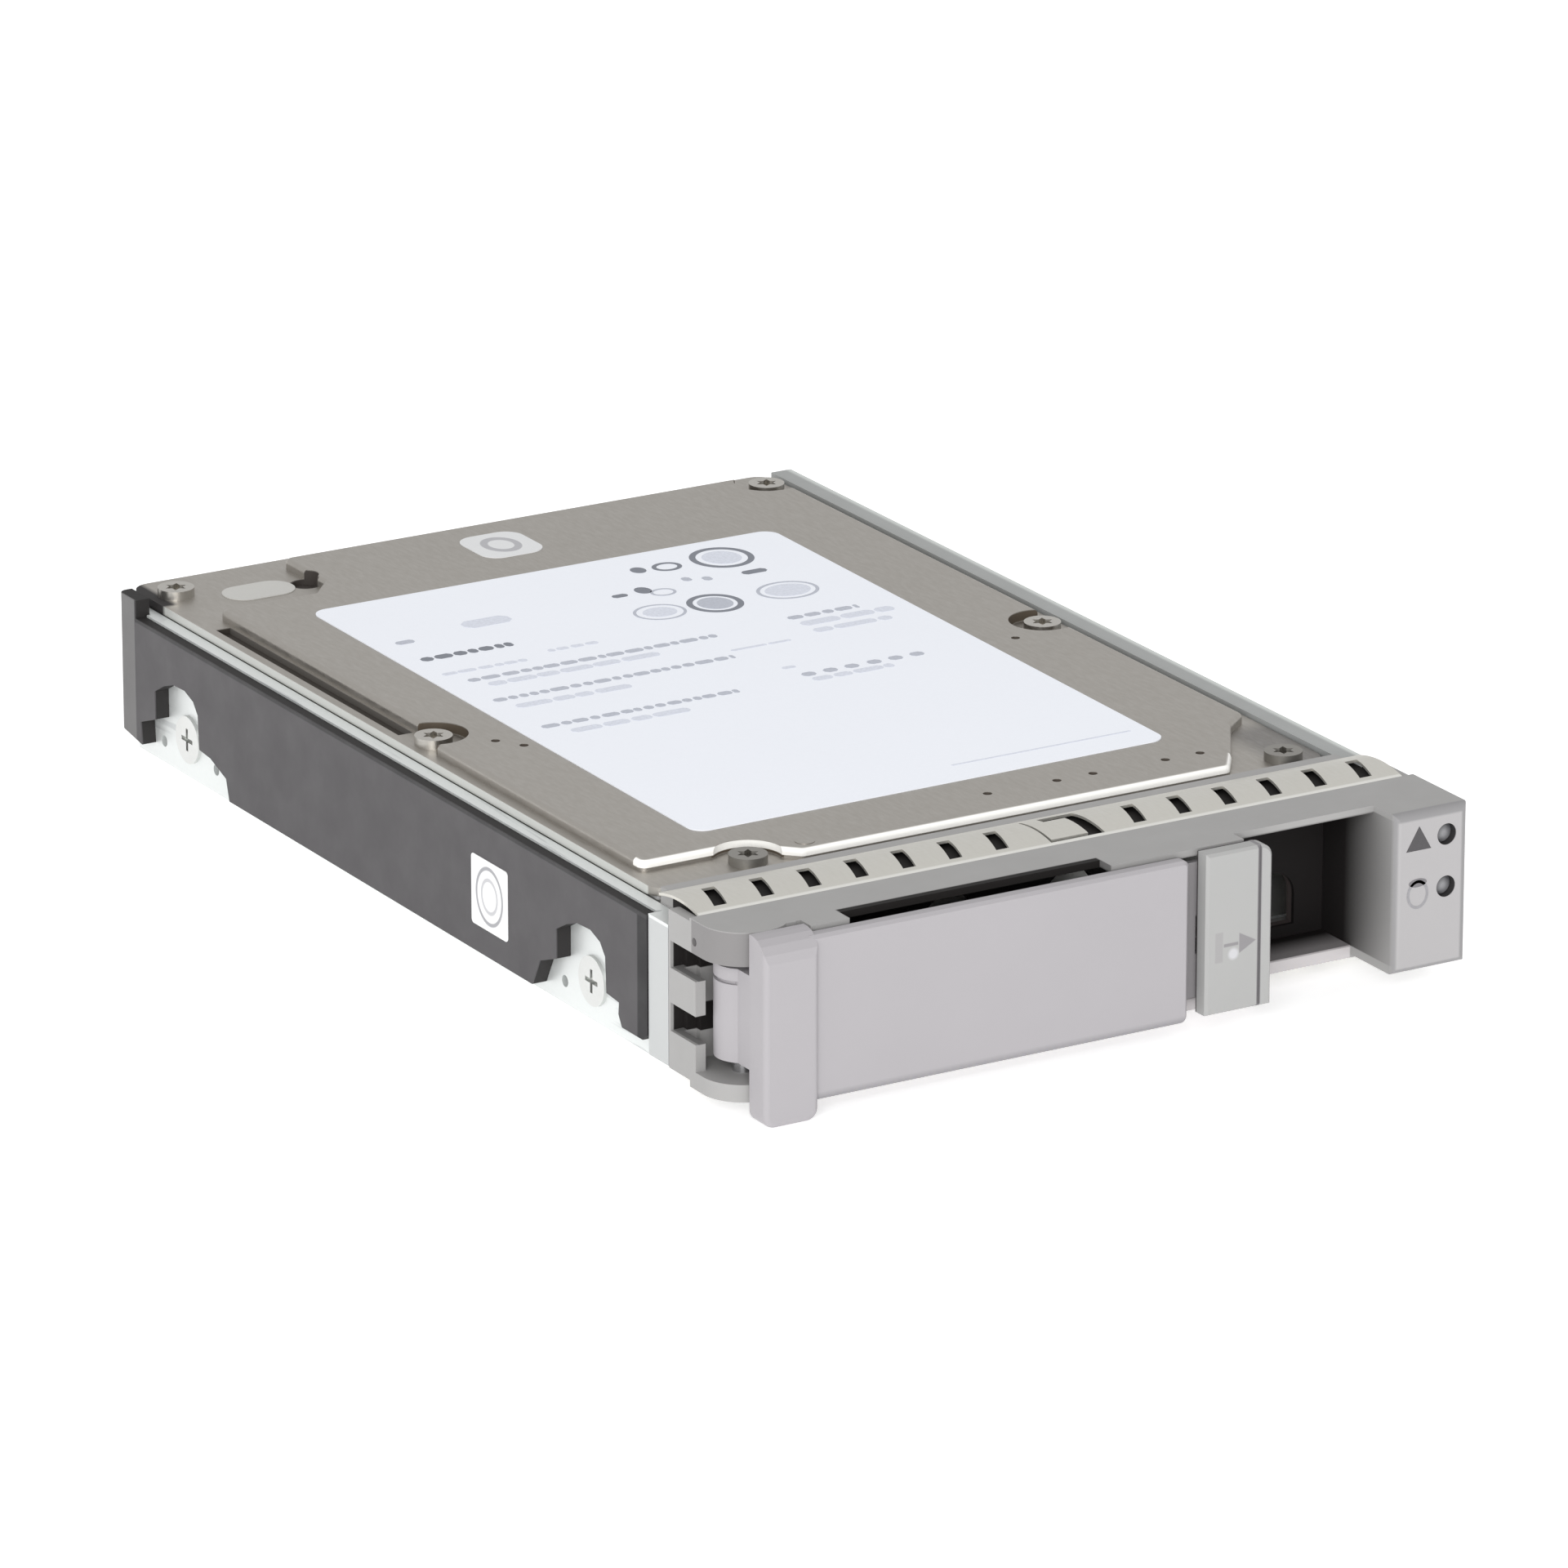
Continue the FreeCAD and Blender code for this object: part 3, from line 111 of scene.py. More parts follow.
class Shader:
    """A Principled material, with short calls for the nodes it needs.
"""

    def __init__(self, name):
        self.material = bpy.data.materials.new(name)
        self.material.use_nodes = True
        self.tree = self.material.node_tree
        self.surface = self.tree.nodes["Principled BSDF"]
        self.place = self.add("ShaderNodeTexCoord").outputs["Object"]
        split = self.add("ShaderNodeSeparateXYZ")
        self.tree.links.new(self.place, split.inputs[0])
        self.axes = split.outputs
        self.colour = (0.5, 0.5, 0.5)
        self.roughness = 0.5
        self.metal = 0.0

    def add(self, kind, **settings):
        """A new node of a kind, with its settings."""
        node = self.tree.nodes.new(kind)
        for key, value in settings.items():
            setattr(node, key, value)
        return node

    def feed(self, socket, value):
        """Links another node's output to a socket, or sets the socket to a constant."""
        if isinstance(value, bpy.types.NodeSocket):
            self.tree.links.new(value, socket)
        elif isinstance(value, tuple) and len(socket.default_value) == 4:
            socket.default_value = (*value, 1.0)
        else:
            socket.default_value = value

    def maths(self, operation, first, second=0.0):
        node = self.add("ShaderNodeMath", operation=operation)
        self.feed(node.inputs[0], first)
        self.feed(node.inputs[1], second)
        return node.outputs[0]

    def between(self, value, low, high, to_low=0.0, to_high=1.0):
        """A value from low to high, spread over to_low to to_high and held there outside."""
        node = self.add("ShaderNodeMapRange")
        self.feed(node.inputs["Value"], value)
        node.inputs["From Min"].default_value = low
        node.inputs["From Max"].default_value = high
        node.inputs["To Min"].default_value = to_low
        node.inputs["To Max"].default_value = to_high
        return node.outputs["Result"]

    def mix(self, factor, first, second):
        """Two colours. The Mix node has them on sockets 6 and 7, and its coloured result on output 2."""
        node = self.add("ShaderNodeMix", data_type="RGBA")
        self.feed(node.inputs[0], factor)
        self.feed(node.inputs[6], first)
        self.feed(node.inputs[7], second)
        return node.outputs[2]

    def mix_number(self, factor, first, second):
        """Two numbers, which the Mix node has on sockets 2 and 3."""
        node = self.add("ShaderNodeMix", data_type="FLOAT")
        self.feed(node.inputs[0], factor)
        self.feed(node.inputs[2], first)
        self.feed(node.inputs[3], second)
        return node.outputs[0]

    def stretched(self, stretch):
        """The place on the object, with each axis scaled."""
        node = self.add("ShaderNodeMapping")
        self.feed(node.inputs["Vector"], self.place)
        node.inputs["Scale"].default_value = stretch
        return node.outputs["Vector"]

    def noise(self, scale, detail=3.0, roughness=0.55, stretch=(1, 1, 1)):
        node = self.add("ShaderNodeTexNoise")
        self.feed(node.inputs["Vector"], self.stretched(stretch))
        node.inputs["Scale"].default_value = scale
        node.inputs["Detail"].default_value = detail
        node.inputs["Roughness"].default_value = roughness
        return node.outputs["Fac"]

    def bands(self, axis, scale, rings=False, distortion=0.0):
        """Regular fine lines across an axis, or rings round it."""
        node = self.add("ShaderNodeTexWave", wave_type="RINGS" if rings else "BANDS")
        if rings:
            node.rings_direction = axis
        else:
            node.bands_direction = axis
        self.feed(node.inputs["Vector"], self.place)
        node.inputs["Scale"].default_value = scale
        node.inputs["Distortion"].default_value = distortion
        return node.outputs["Fac"]

    def over(self, axis, edge, blur=0.05 * MM):
        """1 where the coordinate is more than edge, 0 where it is less."""
        return self.between(self.axes[axis], edge - blur, edge + blur)

    def within(self, blur=0.05 * MM, **limits):
        """1 inside a box. A limit is X=(low, high), and None leaves a side open."""
        masks = []
        for axis, (low, high) in limits.items():
            if low is not None:
                masks.append(self.over(axis, low, blur))
            if high is not None:
                masks.append(self.maths("SUBTRACT", 1.0, self.over(axis, high, blur)))
        return self.both(*masks)

    def both(self, *masks):
        """1 where every mask is 1."""
        result = masks[0]
        for mask in masks[1:]:
            result = self.maths("MULTIPLY", result, mask)
        return result

    def either(self, *masks):
        """1 where any mask is 1."""
        result = masks[0]
        for mask in masks[1:]:
            result = self.maths("MAXIMUM", result, mask)
        return result

    def distance(self, centre, flatten=(1, 1, 1)):
        """How far a point is from a centre, after each axis is scaled by flatten."""
        node = self.add("ShaderNodeVectorMath", operation="DISTANCE")
        self.feed(node.inputs[0], self.stretched(flatten))
        node.inputs[1].default_value = [part * scale for part, scale in zip(centre, flatten)]
        return node.outputs["Value"]

    def near(self, centre, radius, flatten=(1, 1, 1), blur=0.05 * MM):
        """1 closer to the centre than radius."""
        return self.between(self.distance(centre, flatten), radius - blur, radius + blur, 1.0, 0.0)

    def vary(self, clouds, colour, variation):
        """Takes a colour, a little darker and lighter from place to place."""
        self.colour = self.mix(clouds, tinted(colour, 1 - variation), tinted(colour, 1 + variation))

    def shade(self, mask, colour=None, roughness=None, metal=None):
        """Changes the surface inside a mask."""
        if colour is not None:
            self.colour = self.mix(mask, self.colour, colour)
        if roughness is not None:
            self.roughness = self.mix_number(mask, self.roughness, roughness)
        if metal is not None:
            self.metal = self.mix_number(mask, self.metal, metal)

    def bump(self, height, strength, distance):
        node = self.add("ShaderNodeBump")
        self.feed(node.inputs["Height"], height)
        node.inputs["Strength"].default_value = strength
        node.inputs["Distance"].default_value = distance
        self.feed(self.surface.inputs["Normal"], node.outputs["Normal"])

    def finish(self):
        """Puts colour, roughness and metal on the surface and gives back the material."""
        self.feed(self.surface.inputs["Base Color"], self.colour)
        self.feed(self.surface.inputs["Roughness"], self.roughness)
        self.feed(self.surface.inputs["Metallic"], self.metal)
        return self.material


# ---------------------------------------------------------------- kinds of surface


def moulded(name, colour, roughness=0.5, grain=9000.0, variation=0.05, depth=0.00001, gloss=0.35):
    """Moulded plastic: a fine spark-eroded grain, and slow changes of tone and gloss from handling."""
    look = Shader(name)
    look.vary(look.noise(90.0, 4.0), colour, variation)
    look.roughness = look.between(look.noise(260.0), 0.3, 0.7, roughness - 0.06, roughness + 0.08)
    look.surface.inputs["Specular IOR Level"].default_value = gloss
    look.bump(look.noise(grain, 2.0), 0.35, depth)
    return look


def metal(name, colour, roughness=0.35, stretch=(1, 1, 1), scale=4000.0, variation=0.06, depth=0.000005):
    """Bare or plated metal with a directional grain and faint clouds of tarnish."""
    look = Shader(name)
    grain = look.noise(scale, 4.0, 0.6, stretch)
    look.metal = 1.0
    look.vary(look.noise(60.0), colour, variation)
    look.roughness = look.between(grain, 0.3, 0.7, roughness - 0.08, roughness + 0.1)
    look.bump(grain, 0.2, depth)
    return look


def paper(name, colour, roughness=0.42):
    """Coated label stock: a weak fibre pattern under a satin film."""
    look = Shader(name)
    fibre = look.noise(2600.0, 5.0, 0.65)
    look.colour = look.mix(look.noise(30.0), tinted(colour, 0.985), tinted(colour, 1.01))
    look.colour = look.mix(look.between(fibre, 0.35, 0.75, 0.0, 0.12), look.colour, tinted(colour, 0.9))
    look.roughness = look.between(fibre, 0.3, 0.7, roughness - 0.04, roughness + 0.06)
    look.surface.inputs["Specular IOR Level"].default_value = 0.3
    look.bump(fibre, 0.15, 0.000004)
    return look


# ---------------------------------------------------------------- the parts seen in the photograph

BLACK = linear(26, 23, 22)
COVER_COLOUR = linear(176, 172, 166)
BARE_EDGE_AND_HIGHLIGHT = linear(216, 217, 213)

cover_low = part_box("top_cover")[0]
label_low, label_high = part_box("drive_label")
# Top faces of the cover: the flange along its edges, and the raised field that carries the label.
deck_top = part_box("corner_seal")[0].z
cover_top = label_low.z
drive_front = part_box("drive_base")[0].y
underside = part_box("drive_base")[0].z
# Screws and punched dimples of the cover, in mm from the middle of its front edge.
COVER_SCREWS = [(-32.3, 95.2), (32.3, 95.2), (-32.4, 44.7), (32.4, 44.7), (-24.3, 2.4), (31.3, 2.0)]
SCREW_RECESS = 3.35 * MM
FRONT_DIMPLES = [(1.9, 5.0), (9.1, 4.9), (12.9, 4.9), (20.5, 4.8), (24.2, 4.8)]
SIDE_DIMPLES = [(-27.0, 37.6), (27.4, 41.4), (-28.6, 40.0)]


def on_cover(x, y):
    """A point of the cover's top, given in mm from the middle of its front edge."""
    return Vector((x * MM, cover_low.y + y * MM, cover_top))


def cover_material():
    """Plated steel: a bare edge partly painted as light, a painted highlight along the bend, and painted
    shade in the seam, screw recesses, dimples, pocket and corners.
    """
    look = metal("cover_steel", COVER_COLOUR, 0.46, (1, 0.25, 1), 2600.0, 0.035, 0.000003)
    left = cover_low.x
    front = cover_low.y
    # Bare edge along the left flange, its left-facing side painted bright as light.
    edge = look.within(0.03 * MM, X=(None, left + 0.06 * MM), Y=(front + 1.5 * MM, None))
    look.shade(edge, BARE_EDGE_AND_HIGHLIGHT, 0.5, 0.6)
    # Painted shade in the seam beside the raised field.
    seam = look.within(X=(left + 0.9 * MM, left + 2.45 * MM), Y=(front + 48.2 * MM, front + 84.1 * MM),
                       Z=(None, deck_top - 0.04 * MM))
    look.shade(seam, linear(52, 46, 40), 0.7, 0.0)
    # Shadowed walls round the screw recesses.
    rings = look.either(*[look.near(on_cover(x, y), SCREW_RECESS, (1, 1, 0)) for x, y in COVER_SCREWS])
    walls = look.within(Z=(deck_top + 0.05 * MM, cover_top - 0.06 * MM))
    look.shade(look.both(rings, walls), linear(88, 78, 66), 0.6, 0.3)
    # Painted highlight along the front of the raised field, and round the screw recess at its left end.
    recess_end = -19.0 * MM
    left_part = look.within(0.03 * MM, X=(None, recess_end), Y=(None, front + 6.2 * MM))
    right_part = look.within(0.03 * MM, X=(recess_end - 0.2 * MM, 26.5 * MM), Y=(None, front + 3.6 * MM))
    wall = look.within(0.03 * MM, Z=(deck_top + 0.3 * MM, cover_top - 0.03 * MM))
    look.shade(look.both(look.either(left_part, right_part), wall), linear(255, 254, 250), 0.3, 0.0)
    # Punched dimples along the front and beside the middle screws, painted dark inside as shade.
    spots = [look.near(on_cover(x, y), 0.5 * MM, (1, 1, 0)) for x, y in FRONT_DIMPLES + SIDE_DIMPLES]
    dimples = look.either(*spots)
    sunk = look.within(0.02 * MM, Z=(None, cover_top - 0.03 * MM))
    look.shade(look.both(dimples, sunk), linear(84, 76, 68), 0.7, 0.0)
    # Painted shade in the pocket at the rear left step.
    pocket = look.near(on_cover(-20.2, 92.0), 1.5 * MM, (1, 1, 0))
    below_top = look.within(Z=(None, cover_top - 0.06 * MM))
    look.shade(look.both(pocket, below_top), linear(60, 54, 50), 0.7, 0.0)
    # Painted shade on the flange at the front right.
    front_right_shade = look.within(1.2 * MM, X=(30.5 * MM, None), Y=(None, front + 11.0 * MM))
    look.shade(look.both(front_right_shade, look.within(Z=(None, deck_top + 0.05 * MM))), linear(142, 139, 136))
    # Painted shade in the rear left corner of the flange, behind the rail's column.
    corner = look.within(0.3 * MM, X=(None, left + 1.3 * MM), Y=(front + 92.6 * MM, None))
    look.shade(corner, linear(36, 33, 33), 0.7, 0.0)
    return look.finish()


def ring_mark(shader, centre, radius, band, flatten):
    """1 in a ring of the given outer radius and band."""
    outer = shader.near(centre, radius, flatten)
    inner = shader.near(centre, radius - band, flatten)
    return shader.both(outer, shader.maths("SUBTRACT", 1.0, inner))


def cover_sticker_material():
    """A small white label with a plain grey ring."""
    low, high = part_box("cover_sticker")
    look = paper("small_label", linear(224, 225, 226))
    ring = ring_mark(look, (low + high) / 2, 1.9 * MM, 0.7 * MM, (1, 0.8, 0))
    look.shade(ring, linear(178, 178, 182))
    return look.finish()


def rail_sticker_material():
    """A white label with two thin oval rings."""
    low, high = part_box("rail_sticker")
    look = paper("rail_label", linear(236, 236, 236))
    for radius, colour in ((2.5, linear(158, 158, 162)), (1.55, linear(190, 190, 193))):
        ring = ring_mark(look, (low + high) / 2, radius * MM, 0.32 * MM, (0, 1, 0.9))
        look.shade(ring, colour)
    return look.finish()


def dark_rail_material():
    """Dark plastic with a painted highlight on its rear column and painted shade on its front band, top
    edge and inner faces.
    """
    low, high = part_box("left_rail_cover")
    look = moulded("rail_dark", linear(76, 74, 76), 0.55, variation=0.04)
    # Painted highlight on the rear column, then painted shade on the front band, the top edge and the inner
    # faces.
    look.shade(look.over("Y", high.y - 3.3 * MM), linear(107, 106, 106))
    look.shade(look.within(0.15 * MM, Y=(None, low.y + 1.7 * MM)), linear(32, 31, 33))
    top_edge = look.within(0.06 * MM, Z=(underside + 12.6 * MM, None), Y=(None, high.y - 3.4 * MM))
    look.shade(top_edge, linear(50, 49, 50))
    look.shade(look.over("X", low.x + 0.12 * MM, 0.04 * MM), linear(38, 36, 36), 0.7)
    return look.finish()


def grey_rail_material():
    """Grey plastic with a painted highlight along its outer edge."""
    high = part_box("right_rail_cover")[1]
    look = moulded("rail_grey", linear(160, 162, 161), 0.5)
    # Painted highlight along the outer edge.
    look.shade(look.over("X", high.x - 0.5 * MM, 0.2 * MM), linear(202, 206, 203))
    return look.finish()


def tray_material():
    """Bright sheet steel, lightly scratched along its length, with its left side painted darker as shade.
    """
    look = metal("tray_steel", linear(226, 229, 228), 0.42, (0.1, 1, 1), 3000.0, 0.03)
    look.metal = 0.55
    scratches = look.between(look.noise(900.0, 2.0, 0.5, (1, 0.08, 1)), 0.62, 0.68)
    look.shade(scratches, linear(205, 208, 208))
    # The left side is painted darker, as shade.
    side = look.within(X=(None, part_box("carrier_tray")[0].x + 1.2 * MM), Z=(None, underside + 12.9 * MM))
    look.shade(side, linear(190, 192, 192), 0.5, 0.3)
    return look.finish()


bezel_low, bezel_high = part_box("bezel_frame")
lever_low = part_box("ejector_lever")[0]
strip_low, strip_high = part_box("contact_strip_top")
# The two indicator lamps.
LENS_RADIUS = 0.95 * MM
lamp_x = 35.1 * MM
lamp_heights = (underside + 12.4 * MM, underside + 7.5 * MM)
# The bezel's roof, floor and back wall, and the finger recess that they close in.
roof_under = underside + 14.35 * MM
roof_front = drive_front - 14.6 * MM
floor_top = underside + 0.9 * MM
lip_front = drive_front - 11.4 * MM
back_wall = drive_front - 6.6 * MM
recess_right = 29.6 * MM


def bezel_material():
    """Grey plastic, with painted light and shade on the housing, recess, roof and hinge."""
    look = moulded("bezel_grey", linear(158, 157, 156), 0.5, variation=0.04)
    front = bezel_low.y
    left = bezel_low.x
    # The housing's front face is painted lighter than its moulded edges: light on the face, shade on the
    # edges.
    edges = look.within(0.1 * MM, X=(recess_right + 0.05 * MM, None), Y=(None, front + 0.75 * MM))
    look.shade(edges, linear(140, 139, 140))
    face = look.within(0.1 * MM, X=(recess_right + 0.35 * MM, bezel_high.x - 0.7 * MM),
                       Y=(None, front + 0.12 * MM), Z=(underside + 0.5 * MM, bezel_high.z - 0.75 * MM))
    look.shade(face, linear(166, 164, 165))
    # The walls of the lamp holes are painted dark, as shade.
    for height in lamp_heights:
        hole = look.near(Vector((lamp_x, 0, height)), LENS_RADIUS + 0.12 * MM, (1, 0, 1), 0.03 * MM)
        look.shade(look.both(hole, look.over("Y", front + 0.06 * MM)), linear(52, 51, 52), 0.6)
    # Inside the finger recess the plastic is painted dark as shade, darker towards the back.
    depth = look.between(look.axes["Y"], front - 0.6 * MM, front + 8.0 * MM)
    recess_left = left + 8.2 * MM
    hollow = look.within(X=(recess_left, recess_right + 0.08 * MM), Y=(None, back_wall + 1.5 * MM),
                         Z=(floor_top - 0.1 * MM, roof_under + 0.1 * MM))
    look.shade(look.both(hollow, depth), linear(20, 16, 16), 0.75)
    # The recess floor is painted as shade, lighter at its front and dark towards the back; the lip's front
    # face is painted lighter still, as light.
    floor = look.within(X=(recess_left, recess_right - 0.1 * MM), Y=(None, back_wall - 0.1 * MM),
                        Z=(None, floor_top + 0.06 * MM))
    floor_shade = look.between(look.axes["Y"], lip_front + 0.5 * MM, back_wall - 1.5 * MM)
    look.shade(floor, look.mix(floor_shade, linear(150, 146, 147), linear(26, 22, 22)), 0.6)
    lip = look.within(X=(recess_left, recess_right - 0.1 * MM), Y=(None, lip_front + 0.1 * MM),
                      Z=(None, floor_top - 0.15 * MM))
    look.shade(lip, linear(196, 192, 193))
    # The back wall, as far as it is seen through the opening at the right of the lever.
    opening_left = 10.0 * MM
    wall = look.within(X=(opening_left, recess_right - 2.4 * MM),
                       Y=(back_wall - 0.2 * MM, back_wall + 1.2 * MM), Z=(floor_top + 0.3 * MM, roof_under))
    look.shade(wall, linear(84, 76, 75), 0.7)
    # The front edge of the roof is in the lever's shadow between the two lips.
    shadow_span = (-25.5 * MM, 1.0 * MM)
    rim = look.within(0.1 * MM, X=shadow_span, Y=(None, roof_front + 0.1 * MM),
                      Z=(roof_under - 0.1 * MM, None))
    look.shade(rim, BLACK, 0.8)
    # Seats under the contact strips are painted black between the fingers, as shade.
    seat_half = 36.2 * MM
    for height in ((underside + 13.2 * MM, None), (None, underside + 0.3 * MM)):
        seats = look.within(X=(-seat_half, seat_half),
                            Y=(strip_low.y + 0.3 * MM, strip_high.y - 0.2 * MM), Z=height)
        look.shade(seats, BLACK, 0.8)
    # The hinge ear's round side is painted darker as shade, and the notches beside it are painted black
    # inside as shade.
    ear = look.within(X=(None, left + 2.8 * MM), Y=(None, strip_low.y - 0.3 * MM),
                      Z=(underside + 11.8 * MM, bezel_high.z - 0.06 * MM))
    look.shade(ear, linear(128, 126, 126))
    for low, high in ((9.4, 11.9), (3.6, 6.2)):
        notch = look.within(X=(left + 0.3 * MM, left + 8.0 * MM), Y=(strip_low.y - 1.2 * MM, strip_high.y),
                            Z=(underside + low * MM, underside + high * MM))
        look.shade(notch, BLACK, 0.8)
    return look.finish()


def lever_material():
    """Grey plastic, slightly lighter than the bezel's."""
    look = moulded("lever_grey", linear(163, 160, 163), 0.48, variation=0.025)
    # The back of the panel is painted dark, as shade.
    panel_end = 8.0 * MM
    back = look.within(X=(lever_low.x + 6.5 * MM, panel_end), Y=(lever_low.y + 1.75 * MM, None))
    look.shade(back, linear(52, 48, 50), 0.7)
    # The tongue behind the button and the panel's lower edge are painted darker, as shade.
    look.shade(look.within(0.1 * MM, X=(panel_end + 0.3 * MM, None)), linear(146, 143, 145))
    foot = look.within(0.25 * MM, X=(lever_low.x + 5.9 * MM, panel_end + 0.1 * MM),
                       Z=(None, underside + 0.05 * MM))
    look.shade(foot, linear(140, 138, 141))
    return look.finish()


def button_material():
    """Grey plastic with a low-contrast push symbol: a bar, and an arrow that points to the right; its back
    and a groove are painted darker as shade, and a spot is a painted highlight.
    """
    low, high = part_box("release_button")
    look = moulded("button_grey", linear(162, 162, 161), 0.48, variation=0.025)
    # Painted shade on the button's back and in the groove near its right edge.
    look.shade(look.over("Y", low.y + 1.5 * MM), linear(60, 56, 58), 0.7)
    groove = look.within(0.04 * MM, X=(high.x - 1.55 * MM, high.x - 1.15 * MM))
    look.shade(groove, linear(128, 126, 128))
    face = look.within(0.02 * MM, Y=(None, low.y + 0.1 * MM))
    middle = (low.x + high.x) / 2
    height = underside + 6.3 * MM
    bar = look.within(X=(middle - 2.5 * MM, middle - 1.7 * MM), Z=(height - 1.5 * MM, height + 1.3 * MM))
    look.shade(look.both(face, bar), linear(154, 153, 153))
    shaft_half = 0.15 * MM
    shaft = look.within(X=(middle - 1.6 * MM, middle - 0.1 * MM),
                        Z=(height - shaft_half, height + shaft_half))
    # The arrow's head narrows to the right until its half height is nothing.
    head_half = 0.95 * MM
    head_length = 1.75 * MM
    along = look.maths("SUBTRACT", look.axes["X"], middle)
    half = look.maths("SUBTRACT", head_half, look.maths("MULTIPLY", along, head_half / head_length))
    rise = look.maths("ABSOLUTE", look.maths("SUBTRACT", look.axes["Z"], height))
    inside = look.between(look.maths("SUBTRACT", half, rise), -0.05 * MM, 0.05 * MM)
    head = look.both(inside, look.over("X", middle))
    look.shade(look.both(face, look.either(shaft, head)), linear(134, 132, 134))
    # A light spot on the symbol is a painted highlight.
    spot = look.near(Vector((middle - 0.6 * MM, 0, height - 0.9 * MM)), 0.5 * MM, (1, 0, 1), 0.15 * MM)
    look.shade(look.both(face, spot), linear(190, 190, 193))
    return look.finish()


def strip_material():
    """Contact spring alloy, with a painted highlight along its front edge."""
    look = metal("contact_alloy", linear(208, 206, 199), 0.4, (1, 0.2, 1), 3000.0, 0.03)
    look.metal = 0.7
    look.shade(look.within(0.1 * MM, Y=(None, strip_low.y + 0.45 * MM)), linear(232, 231, 226))
    return look.finish()


def lens_material():
    """Clear plastic over a dark hole, with a painted highlight towards the lower right of each lens."""
    look = moulded("clear_plastic", linear(84, 84, 87), 0.22, 4000.0, 0.05, 0.000003, 0.6)
    for height in lamp_heights:
        spot = look.near(Vector((lamp_x + 0.22 * MM, 0, height - 0.22 * MM)), 0.5 * MM, (1, 0, 1), 0.3 * MM)
        look.shade(spot, linear(150, 150, 153))
    return look.finish()


def steel_screws(name, colour, shade_until=None):
    """Zinc-plated screws. Those in front of a given place along the object are painted darker, as shade in
    their recesses.
    """
    look = metal(name, colour, 0.36, (1, 1, 1), 6000.0)
    if shade_until is not None:
        # Painted shade on the screws at the front.
        look.shade(look.within(Y=(None, shade_until)), tinted(colour, 0.62), 0.5)
    return look.finish()


# ---------------------------------------------------------------- the parts inside and underneath


def cast_material():
    """Die-cast aluminium with a faint mottle."""
    look = metal("cast_alloy", linear(168, 168, 166), 0.52, scale=1400.0, depth=0.00002)
    look.shade(look.between(look.noise(300.0, 5.0), 0.55, 0.8, 0.0, 0.35), linear(120, 120, 120))
    return look.finish()


def copper_material():
    """Wound copper wire."""
    look = metal("copper_winding", linear(196, 112, 62), 0.34, scale=2500.0)
    wires = look.bands("DIAGONAL", 1500.0)
    look.shade(wires, linear(150, 74, 38))
    look.bump(wires, 0.6, 0.00004)
    return look.finish()


def lamination_material():
    """A stack of thin steel sheets."""
    look = metal("lamination_steel", linear(120, 120, 124), 0.4)
    sheets = look.bands("Z", 1400.0)
    look.shade(look.between(sheets, 0.7, 0.9), linear(60, 60, 64))
    return look.finish()


def disk_material():
    """A polished disk with faint rings."""
    look = metal("disk_mirror", linear(205, 206, 209), 0.1, scale=9000.0, variation=0.01, depth=0.0000004)
    look.shade(look.between(look.bands("Z", 600.0, rings=True), 0.4, 0.6, 0.0, 0.06), linear(160, 162, 168))
    return look.finish()


def turned_material(name, colour, roughness):
    """Machined alloy with fine turning marks."""
    look = metal(name, colour, roughness, scale=5000.0)
    marks = look.bands("Z", 2500.0, rings=True, distortion=0.4)
    look.shade(look.between(marks, 0.2, 0.8, 0.0, 0.2), tinted(colour, 0.7))
    return look.finish()


def board_material():
    """Green solder mask over a pattern of traces."""
    look = moulded("board_green", linear(22, 92, 58), 0.32, 3000.0, 0.08, 0.000004, 0.5)
    traces = look.between(look.bands("X", 520.0, distortion=1.6), 0.72, 0.8)
    look.shade(look.both(traces, look.noise(160.0, 2.0)), linear(58, 140, 88))
    lines = look.between(look.bands("Y", 260.0, distortion=3.0), 0.92, 0.97)
    patches = look.between(look.noise(110.0, 1.0), 0.5, 0.54)
    look.shade(look.both(lines, patches), linear(50, 122, 80))
    return look.finish()


def flex_material():
    """Amber film with its copper tracks showing through."""
    look = moulded("flex_film", linear(206, 132, 52), 0.25, 3000.0, 0.08, 0.000002, 0.5)
    look.shade(look.between(look.bands("Z", 900.0), 0.6, 0.75, 0.0, 0.7), linear(226, 170, 96), metal=0.6)
    return look.finish()


def chip_material():
    """Black moulding compound with greyer patches."""
    look = moulded("chip_black", linear(46, 46, 48), 0.55, 6000.0, 0.12, 0.000008)
    look.shade(look.between(look.noise(700.0, 2.0), 0.6, 0.7, 0.0, 0.35), linear(84, 84, 86))
    return look.finish()


# The material of each slot that the record names.
SLOTS = {
    "cast_alloy": cast_material(),
    "cover_steel": cover_material(),
    "screw_steel": steel_screws("screw_steel", linear(190, 187, 181), cover_low.y + 8.0 * MM),
    "label_paper": paper("label_stock", linear(243, 246, 253)).finish(),
    "lamination_steel": lamination_material(),
    "copper_winding": copper_material(),
    "disk_mirror": disk_material(),
    "machined_aluminium": turned_material("machined_aluminium", linear(212, 214, 216), 0.3),
    "flex_film": flex_material(),
    "board_green": board_material(),
    "chip_black": chip_material(),
    "tray_steel": tray_material(),
    "rail_dark": dark_rail_material(),
    "rail_grey": grey_rail_material(),
    "bezel_grey": bezel_material(),
    "lever_grey": lever_material(),
    "clear_plastic": lens_material(),
    "contact_alloy": strip_material(),
}
